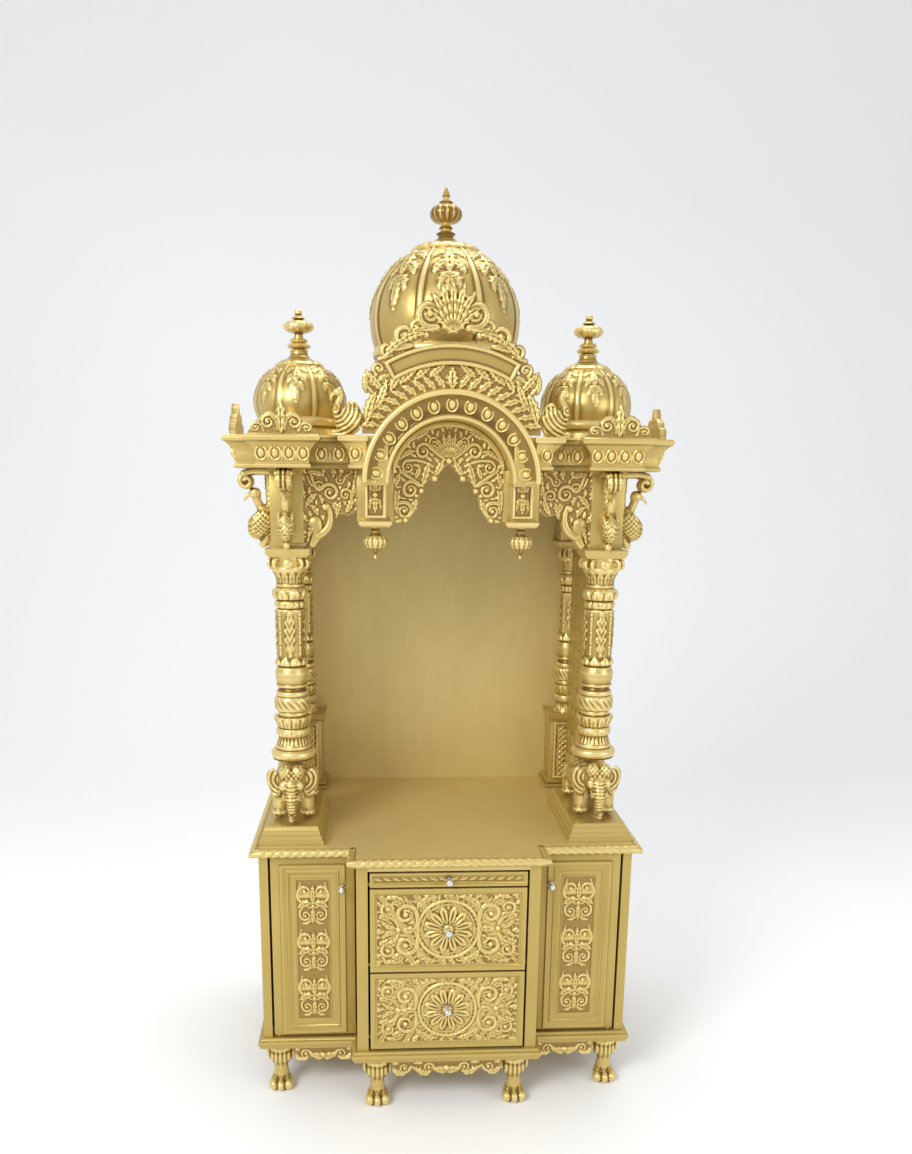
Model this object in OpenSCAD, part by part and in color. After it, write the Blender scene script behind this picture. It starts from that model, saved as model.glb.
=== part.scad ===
// Home temple cabinet: a shrine under three domes on a cupboard with two doors and three drawers.
// Millimetres. +Z is up, the front faces -Y, the origin is under the middle of the whole piece.

/* [Cupboard] */
// Width of the cupboard between the outer faces of its sides
body_w = 940; // [760:5:1200]
// Depth from the door plane to the back of the cupboard
body_d = 608; // [450:2:800]
// Height of the table top above the floor
table_z = 681; // [560:1:820]
// Width of the middle block that holds the drawers
centre_w = 454; // [360:2:600]
// How far the middle block stands out in front of the doors
centre_out = 74; // [40:1:120]
// Thickness of the side boards, seen as the outer stiles
side_t = 22; // [16:1:30]
// Thickness of the two uprights beside the drawers
divider_t = 28; // [18:1:36]
// Thickness of the cupboard floor board
floor_t = 18; // [12:1:30]
// Thickness of the table top and of its rope edge
top_t = 22; // [16:1:32]
// Thickness of the cupboard back board
back_t = 12; // [8:1:20]

/* [Base] */
// Height of the base moulding's underside above the floor
base_z = 132; // [100:1:180]
// Height of the base moulding
base_h = 28; // [18:1:40]
// How far the base moulding stands out
base_out = 13; // [6:1:20]
// Drop of the carved aprons below the base moulding
apron_h = 46; // [20:1:70]
// Thickness of the aprons
apron_t = 20; // [12:1:30]
// Width of a paw foot across its toes
foot_w = 76; // [50:1:110]
// Depth of a paw foot
foot_d = 84; // [60:1:110]

/* [Doors and drawers] */
// Gap left round a door or a drawer front
gap = 5.5; // [5:0.5:8]
// Thickness of a door
door_t = 20; // [16:1:26]
// Height of the raised frame moulding on a door
door_mould = 6; // [3:1:10]
// Margin of door left plain outside that moulding
door_edge = 30; // [22:1:50]
// Width of the raised moulding round a door panel
mould_w = 30; // [16:1:44]
// Radius of the pivot pins of a door
pin_r = 4; // [3:0.5:6]
// Clearance between a pin and its bore
pin_gap = 0.5; // [0.3:0.1:1]
// Height of the slim top drawer's front
drawer_top_h = 36; // [30:1:60]
// Height of the middle drawer's front
drawer_mid_h = 220; // [140:1:260]
// Thickness of a drawer front
front_t = 20; // [16:1:26]
// Wall of a drawer box
box_t = 10; // [8:1:14]
// Depth of a drawer box behind its front
box_d = 440; // [300:5:560]
// Gap between a drawer box and the uprights beside it
box_gap = 12; // [8:1:20]
// Clearance between a drawer and the runner under it
runner_gap = 0.5; // [0.3:0.1:1]
// Radius of the ball knobs
knob_r = 9.5; // [7:0.5:14]
// Distance that a knob's centre stands off its front
knob_off = 19.5; // [14:1:26]

/* [Shrine] */
// Distance from the middle of the shrine to the pillar axes
pillar_x = 389; // [300:1:500]
// Depth position of the front pillars' axes, measured from the door plane
pillar_back = 141; // [100:1:200]
// Largest radius of a pillar, at its foot ring
pillar_r = 57; // [40:1:70]
// Radius of the pillar's shaft
shaft_r = 36; // [24:1:44]
// Height of the top of the abacus on a pillar
abacus_z = 1408; // [1200:1:1500]
// Height of the cornice's underside
cornice_z = 1597; // [1400:1:1750]
// Height of the cornice
cornice_h = 75; // [50:1:100]
// How far the cornice grows outwards from bottom to top
cornice_out = 23; // [12:1:40]
// Thickness of the carved panels under the cornice
panel_t = 20; // [12:1:30]
// Thickness of the back panel of the shrine
wall_t = 21; // [12:1:30]
// Half width of the square block above a pillar
block_half = 40; // [30:1:50]
// How far a swan bracket stands out from its block
bracket_out = 78; // [50:1:100]
// Thickness of a swan bracket
bracket_t = 44; // [30:1:60]
// Inner radius of the arch in the cornice
arch_r = 144; // [110:1:180]
// Height of the centre of that arch
arch_z = 1566; // [1500:1:1600]
// Width of the cusped opening below the arch
cusp_w = 136; // [90:1:180]
// Distance from the middle to each hanging pendant block
pendant_x = 177; // [150:1:220]

/* [Plinths] */
// Width of a pillar plinth
plinth_w = 160; // [120:1:200]
// Depth of a pillar plinth
plinth_d = 333; // [200:1:380]
// Height of a pillar plinth
plinth_h = 45; // [30:1:60]
// Height of the back pedestals
pedestal_h = 225; // [150:1:280]
// Width of the back pedestals
pedestal_w = 108; // [80:1:130]

/* [Roof] */
// Radius of the middle dome
dome_r = 189; // [140:1:230]
// Height of the middle dome's widest ring
dome_z = 1960; // [1850:1:2050]
// Height of the tip of the middle finial
tip_z = 2277; // [2150:1:2400]
// Radius of a side dome
small_r = 118; // [80:1:150]
// Height of the widest ring of a side dome
small_z = 1763; // [1720:1:1820]
// Height of the tip of a side finial
small_tip = 1989; // [1900:1:2060]
// Distance from the middle to a side dome's axis
small_x = 368; // [320:1:420]
// Thickness of the roof board
roof_t = 16; // [12:1:16]
// Thickness of the carved crest boards
crest_t = 26; // [16:1:40]
// Height of the top of the crest
crest_z = 2014; // [1900:1:2080]

/* [Hidden] */
$fn = 64;
e = 0.01;
gold = [0.83, 0.66, 0.30];
bright = [0.90, 0.74, 0.36];
chrome = [0.82, 0.82, 0.84];
door_y = -254;
front_y = door_y - centre_out;
back_y = door_y + body_d;
half = body_w / 2;
ch = centre_w / 2;
base_top = base_z + base_h;
board_z = table_z - top_t;
rope_r = top_t / 2;
pillar_y = door_y + pillar_back;
cornice_top = cornice_z + cornice_h;
wall_y = back_y - wall_t + 3;
wall_back = wall_y + wall_t;
foot_x = half - foot_w / 2;
centre_foot_x = ch - foot_w / 2 - 9;
panel_y = pillar_y - block_half + 4;
cornice_y = pillar_y - block_half - bracket_out - 2;
panel_back = panel_y + panel_t;
beam_d = panel_back - cornice_y;
side_x = pillar_x + block_half + bracket_out;
arm = block_half + 24;
centre_half = 238;
recess = 45;
side_rest = half - 20;
inner_x = pillar_x - 14;
roof_y = (cornice_y + wall_back) / 2;
door_l = half - side_t - gap;
door_r = ch + gap;
door_w = door_l - door_r;
door_z0 = base_top + gap;
door_z1 = board_z - gap;
hinge_x = door_l - door_t / 2;
hinge_y = door_y + door_t / 2;
draw_half = ch - divider_t - gap;
rail_h = 14;
d1_z1 = board_z - rail_h - gap;
d1_z0 = d1_z1 - drawer_top_h;
d2_z1 = d1_z0 - gap;
d2_z0 = d2_z1 - drawer_mid_h;
d3_z1 = d2_z0 - gap;
d3_z0 = base_top + gap;
box_half = ch - divider_t - box_gap;
pillar_foot = table_z + plinth_h + 150;
plinth_y = door_y + 13;
jali_t = 12;
jali_y0 = pillar_y + pillar_r + 2;
pedestal_y = wall_y - 104;
back_pillar_y = wall_y - 48;
outer_r = arch_r + 64;

// A box from its low corner to its high corner.
module box(a, b) {
  translate(a) cube([b[0] - a[0], b[1] - a[1], b[2] - a[2]]);
}

// The same shape on both sides of the middle.
module both() {
  children();
  mirror([1, 0, 0]) children();
}

// An upright round piece between two heights.
module turned(z0, z1, r0, r1) {
  translate([0, 0, z0]) cylinder(h = z1 - z0, r1 = r0, r2 = r1);
}

// A rounded ring of a turned piece.
module ring(z, r, t) {
  translate([0, 0, z]) rotate_extrude() {
    translate([r - t, 0]) circle(r = t);
    translate([0, -t]) square([r - t, 2 * t]);
  }
}

// One paw foot: pad, ankle and knee.
module paw(x, y) {
  translate([x, y, 0]) {
    for (k = [-1, 0, 1])
      translate([k * foot_w * 0.31, -foot_d * 0.28, 18]) sphere(r = 18);
    translate([0, 2, 0]) cylinder(h = 34, r1 = foot_w * 0.42, r2 = foot_w * 0.36);
    translate([0, 2, 34 - e]) cylinder(h = 56, r1 = foot_w * 0.32, r2 = foot_w * 0.42);
    translate([-foot_w / 2 + 2, -foot_d / 2 + 4, 88]) cube([foot_w - 4, foot_d - 12, base_z - 88]);
  }
}
front_foot_y = door_y + foot_d / 2 - 10;
centre_foot_y = front_y + foot_d / 2 - 12;
back_foot_y = back_y - foot_d / 2 - 6;

module paw_feet_front() { color(gold) both() paw(foot_x, front_foot_y); }
module paw_feet_centre() { color(gold) both() paw(centre_foot_x, centre_foot_y); }
module paw_feet_back() { color(gold) both() paw(foot_x, back_foot_y); }

// The base moulding follows the stepped front of the cupboard.
module base_plan(o) {
  translate([-half - o, door_y - o]) square([body_w + 2 * o, body_d + o]);
  translate([-ch - o, front_y - o]) square([centre_w + 2 * o, centre_out + o + 1]);
}
module base_moulding() {
  color(bright) {
    translate([0, 0, base_z]) linear_extrude(base_h * 0.4) base_plan(base_out * 0.6);
    translate([0, 0, base_z + base_h * 0.4 - e]) linear_extrude(base_h * 0.35 + e) base_plan(base_out);
    translate([0, 0, base_z + base_h * 0.75 - e]) linear_extrude(base_h * 0.25 + e) base_plan(base_out * 0.4);
  }
}

// Carved boards hung between the feet, under the base moulding.
module aprons() {
  color(gold) {
    both() box([ch + 20, door_y + 2, base_z - apron_h + 6],
               [foot_x - foot_w / 2 - 4, door_y + 2 + apron_t, base_z]);
    box([-(centre_foot_x - foot_w / 2 - 4), front_y + 2, base_z - apron_h],
        [centre_foot_x - foot_w / 2 - 4, front_y + 2 + apron_t, base_z]);
    both() box([half - apron_t - 2, front_foot_y + foot_d / 2 + 4, base_z - apron_h + 6],
               [half - 2, back_foot_y - foot_d / 2 - 4, base_z]);
  }
}

module cupboard_floor() {
  color(gold) {
    difference() {
      box([-half + side_t, door_y, base_top], [half - side_t, back_y - back_t, base_top + floor_t]);
      both() {
        box([door_r - gap - 1, door_y - 1, base_top - 1],
            [half - side_t + 1, door_y + door_t + gap, base_top + floor_t + 1]);
      }
      box([-ch, door_y - 1, base_top - 1], [-ch + divider_t, back_y, base_top + floor_t + 1]);
      box([ch - divider_t, door_y - 1, base_top - 1], [ch, back_y, base_top + floor_t + 1]);
      box([-ch, door_y - 1, base_top - 1], [ch, door_y + front_t + 2, base_top + floor_t + 1]);
    }
    both() translate([hinge_x, hinge_y, base_top]) cylinder(h = gap + 12, r = pin_r);
  }
}
module cupboard_left_side() {
  color(gold) box([-half, door_y, base_top], [-half + side_t, back_y, board_z]);
}
module cupboard_right_side() {
  color(gold) box([half - side_t, door_y, base_top], [half, back_y, board_z]);
}
module cupboard_back() {
  color(gold) {
    box([-half + side_t, back_y - back_t, base_top], [-ch, back_y, board_z]);
    box([-ch + divider_t, back_y - back_t, base_top], [ch - divider_t, back_y, board_z]);
    box([ch, back_y - back_t, base_top], [half - side_t, back_y, board_z]);
  }
}

// The uprights on each side of the drawers, from the front of the middle block to the back.
module divider() {
  color(gold) box([ch - divider_t, front_y, base_top], [ch, back_y, board_z]);
}
module left_divider() { mirror([1, 0, 0]) divider(); }
module right_divider() { divider(); }

// Runners under each drawer box, fixed to the uprights.
module runner(z) {
  both() box([box_half - 6, front_y + front_t + 6, z - 8],
             [ch - divider_t, front_y + front_t + box_d, z]);
}
box1_z = d1_z0 + 2;
box2_z = d2_z0 + 12;
box3_z = d3_z0 + 24;
module drawer_runners() {
  color(gold) {
    runner(box1_z - runner_gap);
    runner(box2_z - runner_gap);
    runner(box3_z - runner_gap);
  }
}

module table_top() {
  color(bright) {
    translate([0, 0, board_z]) linear_extrude(top_t) base_plan(0);
    box([-ch + divider_t, front_y, board_z - rail_h], [ch - divider_t, front_y + front_t, board_z + e]);
    both() translate([hinge_x, hinge_y, board_z - gap - 12]) cylinder(h = gap + 12 + 1, r = pin_r);
  }
}

// One straight length of the rope edge with ball ends.
module rope(a, b) {
  v = b - a;
  long = norm(v);
  translate([a[0], a[1], board_z + rope_r])
    rotate([0, 90, atan2(v[1], v[0])]) cylinder(h = long, r = rope_r);
  translate([b[0], b[1], board_z + rope_r]) sphere(r = rope_r);
}
module rope_edge() {
  o = rope_r;
  color(bright) {
    both() {
      rope([half + o, back_y], [half + o, door_y - o]);
      rope([half + o, door_y - o], [ch + o, door_y - o]);
      rope([ch + o, door_y - o], [ch + o, front_y - o]);
      rope([ch + o, front_y - o], [0, front_y - o]);
    }
  }
}

// Stepped plinth under an elephant and its pillar.
module plinth() {
  color(bright) translate([pillar_x, plinth_y, table_z]) {
    for (k = [0 : 3])
      translate([-plinth_w / 2 + 5 * k, 5 * k, plinth_h * k / 4 - (k > 0 ? e : 0)])
        cube([plinth_w - 10 * k, plinth_d - 10 * k, plinth_h / 4 + e]);
  }
}
module left_plinth() { mirror([1, 0, 0]) plinth(); }
module right_plinth() { plinth(); }

// Elephant facing the front with the pillar standing on its back.
leg_r = 19;
module elephant() {
  z0 = table_z + plinth_h;
  head_y = plinth_y + 68;
  color(gold) translate([pillar_x, 0, z0]) {
    for (s = [-1, 1], y = [plinth_y + 66, pillar_y + 96])
      translate([s * 30, y, 0]) cylinder(h = 70, r1 = leg_r, r2 = leg_r + 4);
    translate([0, pillar_y + 14, 84]) scale([60, 132, 62] / 100) sphere(r = 100);
    translate([0, head_y, 92]) scale([50, 50, 54] / 100) sphere(r = 100);
    for (s = [-1, 1]) translate([s * 52, head_y + 22, 92]) scale([12, 30, 42] / 100) sphere(r = 100);
    translate([0, head_y - 44, 14]) cylinder(h = 76, r1 = 8, r2 = 17);
    translate([0, pillar_y, 110]) cylinder(h = 40, r1 = pillar_r - 4, r2 = pillar_r - 8);
  }
}
module left_elephant() { mirror([1, 0, 0]) elephant(); }
module right_elephant() { elephant(); }

// Turned pillar with rings, a skirt of leaves, a carved band, a shaft and a bell capital.
module pillar_turning(z0, z1, k) {
  h = z1 - z0;
  r = shaft_r * k;
  turned(z0, z0 + h * 0.045, pillar_r * k, pillar_r * k);
  turned(z0 + h * 0.045 - e, z0 + h * 0.075, r * 1.25, r * 1.2);
  turned(z0 + h * 0.075 - e, z0 + h * 0.155, r * 0.98, r * 1.08);
  turned(z0 + h * 0.155 - e, z0 + h * 0.215, r * 1.3, r * 1.02);
  turned(z0 + h * 0.215 - e, z0 + h * 0.24, r, r);
  turned(z0 + h * 0.24 - e, z0 + h * 0.315, r * 1.22, r * 1.25);
  turned(z0 + h * 0.315 - e, z0 + h * 0.365, r * 1.1, r * 1.05);
  ring(z0 + h * 0.405, r * 1.19, h * 0.04);
  turned(z0 + h * 0.36, z0 + h * 0.45, r * 0.95, r * 0.95);
  turned(z0 + h * 0.45 - e, z0 + h * 0.50, r * 1.12, r);
  turned(z0 + h * 0.50 - e, z0 + h * 0.74, r, r * 1.02);
  ring(z0 + h * 0.79, r * 1.2, h * 0.03);
  turned(z0 + h * 0.735, z0 + h * 0.85, r * 0.92, r * 0.92);
  turned(z0 + h * 0.85 - e, z0 + h * 0.93, r * 0.95, r * 1.28);
  turned(z0 + h * 0.93 - e, z1, r * 1.3, r * 1.36);
}
cap_z = abacus_z - 20;
module pillar() {
  color(gold) translate([pillar_x, pillar_y, 0]) pillar_turning(pillar_foot, cap_z, 1);
}
module left_pillar() { mirror([1, 0, 0]) pillar(); }
module right_pillar() { pillar(); }

// Abacus and the square block that carries the cornice.
module capital_block() {
  a = block_half;
  color(bright) translate([pillar_x, pillar_y, 0]) {
    translate([-a - 12, -a - 12, cap_z]) cube([2 * a + 24, 2 * a + 24, 6]);
    translate([-a - 19, -a - 19, cap_z + 6 - e]) cube([2 * a + 38, 2 * a + 38, 14 + e]);
    translate([-a, -a, abacus_z - e]) cube([2 * a, 2 * a, cornice_z - abacus_z + e]);
  }
}
module left_capital_block() { mirror([1, 0, 0]) capital_block(); }
module right_capital_block() { capital_block(); }

// A swan bracket seen from its side: scroll at the top, neck, round body and foot.
module bracket_side() {
  h = cornice_z - abacus_z;
  b = bracket_out;
  difference() {
    union() {
      translate([0, h * 0.02]) square([b * 0.34, h * 0.98]);
      translate([b * 0.52, h * 0.33]) circle(r = b * 0.42);
      translate([0, h * 0.05]) square([b * 0.5, h * 0.3]);
      translate([b * 0.72, h * 0.86]) circle(r = b * 0.27);
      translate([0, h * 0.72]) square([b * 0.72, h * 0.28]);
      translate([b * 0.8, h * 0.5]) circle(r = b * 0.17);
    }
    translate([b * 0.5, h * 0.64]) circle(r = b * 0.12);
  }
}
module swan_bracket() {
  translate([0, bracket_t / 2, abacus_z]) rotate([90, 0, 0]) linear_extrude(bracket_t) bracket_side();
}
module swan_brackets() {
  color(gold) translate([pillar_x, pillar_y, 0]) {
    translate([block_half, 0, 0]) swan_bracket();
    translate([0, -block_half, 0]) rotate([0, 0, -90]) swan_bracket();
  }
}
module left_swan_brackets() { mirror([1, 0, 0]) swan_brackets(); }
module right_swan_brackets() { swan_brackets(); }

// Back pillar on its square pedestal, against the back panel.
back_k = 0.8;
module back_pillar() {
  p = pedestal_w / 2;
  top = table_z + pedestal_h;
  color(gold) {
    box([pillar_x - p - 12, pedestal_y - 4, table_z], [pillar_x + p + 12, wall_y, table_z + 20]);
    box([pillar_x - p - 6, pedestal_y + 2, table_z + 20 - e], [pillar_x + p + 6, wall_y, table_z + 42]);
    box([pillar_x - p, pedestal_y + 8, table_z + 42 - e], [pillar_x + p, wall_y, top - 14]);
    box([pillar_x - p - 4, pedestal_y + 4, top - 14 - e], [pillar_x + p + 4, wall_y, top]);
    translate([pillar_x, back_pillar_y, 0]) pillar_turning(top - e, cap_z, back_k);
    box([pillar_x - p, back_pillar_y - 48, cap_z - e], [pillar_x + p, wall_y, abacus_z]);
    box([pillar_x - 40, back_pillar_y - 36, abacus_z - e], [pillar_x + 40, wall_y, cornice_z]);
  }
}
module left_back_pillar() { mirror([1, 0, 0]) back_pillar(); }
module right_back_pillar() { back_pillar(); }

// Lattice screen between a front pillar and a back pillar, above and behind the elephant.
lattice_bar = 9;
module lattice_field(y0, z0, y1, z1, n) {
  pitch = (y1 - y0) / n;
  rows = floor((z1 - z0) / pitch);
  step = (z1 - z0) / rows;
  difference() {
    translate([y0, z0]) square([y1 - y0, z1 - z0]);
    for (i = [0 : n - 1], j = [0 : rows - 1])
      translate([y0 + pitch * (i + 0.5), z0 + step * (j + 0.5)])
        polygon([[0, -step / 2 + lattice_bar / 2], [pitch / 2 - lattice_bar / 2, 0],
                 [0, step / 2 - lattice_bar / 2], [-pitch / 2 + lattice_bar / 2, 0]]);
  }
}
module lattice() {
  y1 = back_pillar_y - 56;
  low_y0 = plinth_y + plinth_d + 0.5;
  low_y1 = pedestal_y - 4.5;
  color(gold) translate([pillar_x - jali_t / 2, 0, 0]) rotate([90, 0, 90]) linear_extrude(jali_t) {
    lattice_field(jali_y0 + 12, pillar_foot + 30, y1 - 12, cap_z - 14, 5);
    translate([jali_y0, pillar_foot + 18]) square([12 + e, cap_z - pillar_foot - 18]);
    translate([y1 - 12 - e, pillar_foot + 18]) square([12 + e, cap_z - pillar_foot - 18]);
    translate([jali_y0, pillar_foot + 18]) square([y1 - jali_y0, 12 + e]);
    translate([jali_y0, cap_z - 14 - e]) square([y1 - jali_y0, 14 + e]);
    lattice_field(low_y0 + 10, table_z + 10, low_y1 - 10, pillar_foot + 18 + e, 2);
    translate([low_y0, table_z]) square([10 + e, pillar_foot + 18 - table_z + e]);
    translate([low_y1 - 10 - e, table_z]) square([10 + e, pillar_foot + 18 - table_z + e]);
    translate([low_y0, table_z]) square([low_y1 - low_y0, 10 + e]);
  }
}
module left_lattice() { mirror([1, 0, 0]) lattice(); }
module right_lattice() { lattice(); }

module shrine_back() {
  color(bright) box([-half + 18, wall_y, table_z], [half - 18, wall_back, cornice_top]);
}

// Carved panel with a cusped opening, hung below the arch between the pendant blocks.
arch_half = pendant_x - 44;
module arch_panel() {
  z_low = 1475;
  color(gold) translate([0, panel_y + panel_t, 0]) rotate([90, 0, 0]) linear_extrude(panel_t)
    difference() {
      union() {
        translate([-arch_half, z_low + 30]) square([2 * arch_half, arch_z + 36 - z_low - 30]);
        intersection() {
          translate([0, arch_z]) circle(r = arch_r - 0.3);
          translate([-arch_half, arch_z]) square([2 * arch_half, 200]);
        }
        for (s = [-1, 1]) translate([s * (arch_half - 28), z_low + 28]) circle(r = 28);
      }
      translate([0, z_low - 10]) translate([-cusp_w / 2, 0]) square([cusp_w, 92]);
      for (s = [-1, 1]) translate([s * 34, 1551]) circle(r = 27);
      translate([0, 1580]) circle(r = 29);
    }
}

// Corner panel with a swan, between a pillar block and a pendant block.
module spandrel() {
  x0 = pendant_x + 44;
  x1 = pillar_x - block_half;
  color(gold) translate([0, panel_y + panel_t, 0]) rotate([90, 0, 0]) linear_extrude(panel_t)
    difference() {
      translate([x0, abacus_z]) square([x1 - x0, cornice_z - abacus_z]);
      translate([x0 + 24, abacus_z + 6]) scale([62, 72] / 100) circle(r = 100);
    }
}
module left_spandrel() { mirror([1, 0, 0]) spandrel(); }
module right_spandrel() { spandrel(); }

// Hanging blocks with a turned drop, and the plain strips beside them.
module pendant() {
  z0 = 1475;
  translate([pendant_x, 0, 0]) {
    box([-44, panel_y + 2, z0 + 6], [44, panel_y + 24, cornice_z]);
    box([-29, panel_y - 26, z0], [29, panel_y + 2 + e, cornice_z]);
    box([-40, panel_y - 34, z0 - 12], [40, panel_y + 26, z0 + e]);
    translate([0, panel_y - 4, 0]) {
      turned(z0 - 28, z0 - 11, 13, 19);
      translate([0, 0, z0 - 46]) scale([1, 1, 0.8]) sphere(r = 29);
      turned(z0 - 74, z0 - 62, 8, 14);
      translate([0, 0, z0 - 76]) sphere(r = 9);
      turned(z0 - 92, z0 - 80, 1, 6);
    }
  }
}
module pendants() { color(gold) both() pendant(); }

// Plan of the front cornice, grown by o: corner blocks, side arms, recesses and middle.
module front_plan(o) {
  back = pillar_y + arm + cornice_out;
  translate([-centre_half - o, cornice_y - o]) square([2 * centre_half + 2 * o, beam_d + o]);
  for (s = [0, 1]) mirror([s, 0]) {
    translate([centre_half - 2, cornice_y + recess - o])
      square([pillar_x - centre_half, beam_d - recess + o]);
    translate([pillar_x - arm - o, cornice_y - o])
      square([2 * arm + 2 * o, back - cornice_y + o]);
    translate([pillar_x, pillar_y - arm - o]) square([side_x - pillar_x + o, 2 * arm + 2 * o]);
  }
}
// One layer of the arched part, between two radii, reaching forwards by o.
module arch_layer(r0, r1, o) {
  translate([0, panel_back, arch_z]) rotate([90, 0, 0]) linear_extrude(beam_d + o)
    intersection() {
      difference() {
        circle(r = r1);
        circle(r = r0);
      }
      translate([-r1 - 5, cornice_z - arch_z]) square([2 * r1 + 10, r1 + 10]);
    }
}
module front_layer(z0, z1, o) {
  difference() {
    translate([0, 0, z0]) linear_extrude(z1 - z0) front_plan(o);
    translate([0, cornice_y + 300, arch_z]) rotate([90, 0, 0]) cylinder(h = 500, r = arch_r + (z0 - cornice_z) * 0.85);
  }
}
module front_cornice() {
  z1 = cornice_z + 12;
  z2 = cornice_top - 16;
  color(gold) {
    front_layer(cornice_z, z1, 0);
    front_layer(z1 - e, z2, cornice_out / 2);
    front_layer(z2 - e, cornice_top, cornice_out);
    arch_layer(arch_r, arch_r + 13, 0);
    arch_layer(arch_r + 12, outer_r - 14, cornice_out / 2);
    arch_layer(outer_r - 15, outer_r, cornice_out);
  }
}

// Cornice and beam along each side, behind the corner blocks.
module side_cornice() {
  y0 = pillar_y + arm + cornice_out;
  for (k = [0 : 2]) {
    o = cornice_out * k / 2;
    z = [cornice_z, cornice_z + 12, cornice_top - 16, cornice_top];
    box([inner_x, y0, z[k] - (k > 0 ? e : 0)], [side_rest + o, wall_y, z[k + 1]]);
  }
  box([inner_x, pillar_y + block_half, cap_z + 20], [inner_x + 28, back_pillar_y - 36, cornice_z]);
}
module side_cornices() { color(gold) both() side_cornice(); }

module roof_board() {
  x = pillar_x - arm - cornice_out;
  color(gold) difference() {
    box([-inner_x, panel_back, cornice_top - roof_t], [inner_x, wall_y, cornice_top]);
    both() box([x, panel_back - 1, cornice_z], [pillar_x, pillar_y + arm + cornice_out, cornice_top + 1]);
  }
}

// Carved board standing on the arch: banner in the middle, scrolls and a palmette above.
crest_y = cornice_y - cornice_out + 44;
crest_low = crest_z - 342;
crest_half = [[-198, crest_low], [-190, crest_low + 120], [-196, crest_low + 140], [-182, crest_low + 160],
              [-158, crest_low + 172], [-138, crest_low + 196], [-126, crest_low + 222],
              [-104, crest_low + 236], [-86, crest_low + 262], [-66, crest_low + 292],
              [-36, crest_low + 300], [-24, crest_low + 326], [0, crest_z]];
module arch_crest() {
  color(gold) translate([0, crest_y, 0]) rotate([90, 0, 0]) linear_extrude(crest_t)
    difference() {
      polygon(concat(crest_half, [for (k = [len(crest_half) - 2 : -1 : 0]) [-crest_half[k][0], crest_half[k][1]]]));
      translate([0, arch_z]) circle(r = outer_r);
      translate([-300, cornice_top - 100]) square([600, 101]);
    }
}

// Swans sitting on the cornice at each end of the crest.
module cornice_swan() {
  translate([233, crest_y - crest_t / 2, cornice_top]) {
    translate([0, 0, 38]) scale([32, 24, 38] / 100) sphere(r = 100);
    translate([22, 0, 70]) scale([9, 9, 26] / 100) sphere(r = 100);
    translate([28, 0, 96]) sphere(r = 9);
    translate([-12, 0, 60]) scale([22, 14, 30] / 100) sphere(r = 100);
  }
}
module cornice_swans() { color(gold) both() cornice_swan(); }

// Small scrolled crests on the fronts and the sides of the corner blocks.
module crest_outline() {
  polygon([[-78, 0], [-74, 12], [-52, 22], [-36, 44], [-14, 50], [0, 70],
           [14, 50], [36, 44], [52, 22], [74, 12], [78, 0]]);
}
module corner_crests() {
  color(gold) both() {
    translate([pillar_x, cornice_y - cornice_out + 30, cornice_top]) rotate([90, 0, 0])
      linear_extrude(18) crest_outline();
    translate([side_x + cornice_out - 30, pillar_y, cornice_top]) rotate([90, 0, 90])
      linear_extrude(18) crest_outline();
  }
}

// A dome: drum, base ring, the bulb and the scalloped cap.
module dome(r, z, z_cap, cap_r) {
  drum = r * 0.92;
  translate([0, 0, cornice_top]) cylinder(h = z - r * 0.34 - cornice_top, r = drum);
  ring(z - r * 0.36, r * 0.99, r * 0.05);
  difference() {
    translate([0, 0, z]) scale([1, 1, (z_cap - z) / (r * 0.93)]) sphere(r = r);
    translate([-r - 1, -r - 1, z - 3 * r]) cube([2 * r + 2, 2 * r + 2, 3 * r - r * 0.36]);
    translate([-r - 1, -r - 1, z_cap]) cube([2 * r + 2, 2 * r + 2, 2 * r]);
  }
  translate([0, 0, z_cap - 6]) cylinder(h = 10, r1 = cap_r, r2 = cap_r * 0.86);
  translate([0, 0, z_cap + 4 - e]) cylinder(h = 26, r1 = cap_r * 0.84, r2 = cap_r * 0.34);
}
module main_dome() { color(bright) translate([0, roof_y, 0]) dome(dome_r, dome_z, 2136, 78); }
module side_dome() { translate([small_x, roof_y, 0]) dome(small_r, small_z, 1856, 56); }
module left_dome() { color(bright) mirror([1, 0, 0]) side_dome(); }
module right_dome() { color(bright) side_dome(); }

// Finial: ring, neck, ribbed bulb, small bulb and tip.
module finial(z0, z1, r) {
  h = z1 - z0;
  ring(z0 + h * 0.07, r * 0.85, h * 0.07);
  turned(z0, z0 + h * 0.3, r * 0.5, r * 0.42);
  translate([0, 0, z0 + h * 0.44]) scale([1, 1, 0.86]) sphere(r = r);
  turned(z0 + h * 0.6, z0 + h * 0.8, r * 0.5, r * 0.34);
  ring(z0 + h * 0.72, r * 0.45, h * 0.03);
  translate([0, 0, z0 + h * 0.83]) sphere(r = r * 0.36);
  turned(z0 + h * 0.84, z1, r * 0.3, 1);
}
module main_finial() { color(bright) translate([0, roof_y, 0]) finial(2166 - e, tip_z, 38); }
module side_finials() { color(bright) both() translate([small_x, roof_y, 0]) finial(1886 - e, small_tip, 37); }

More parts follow.
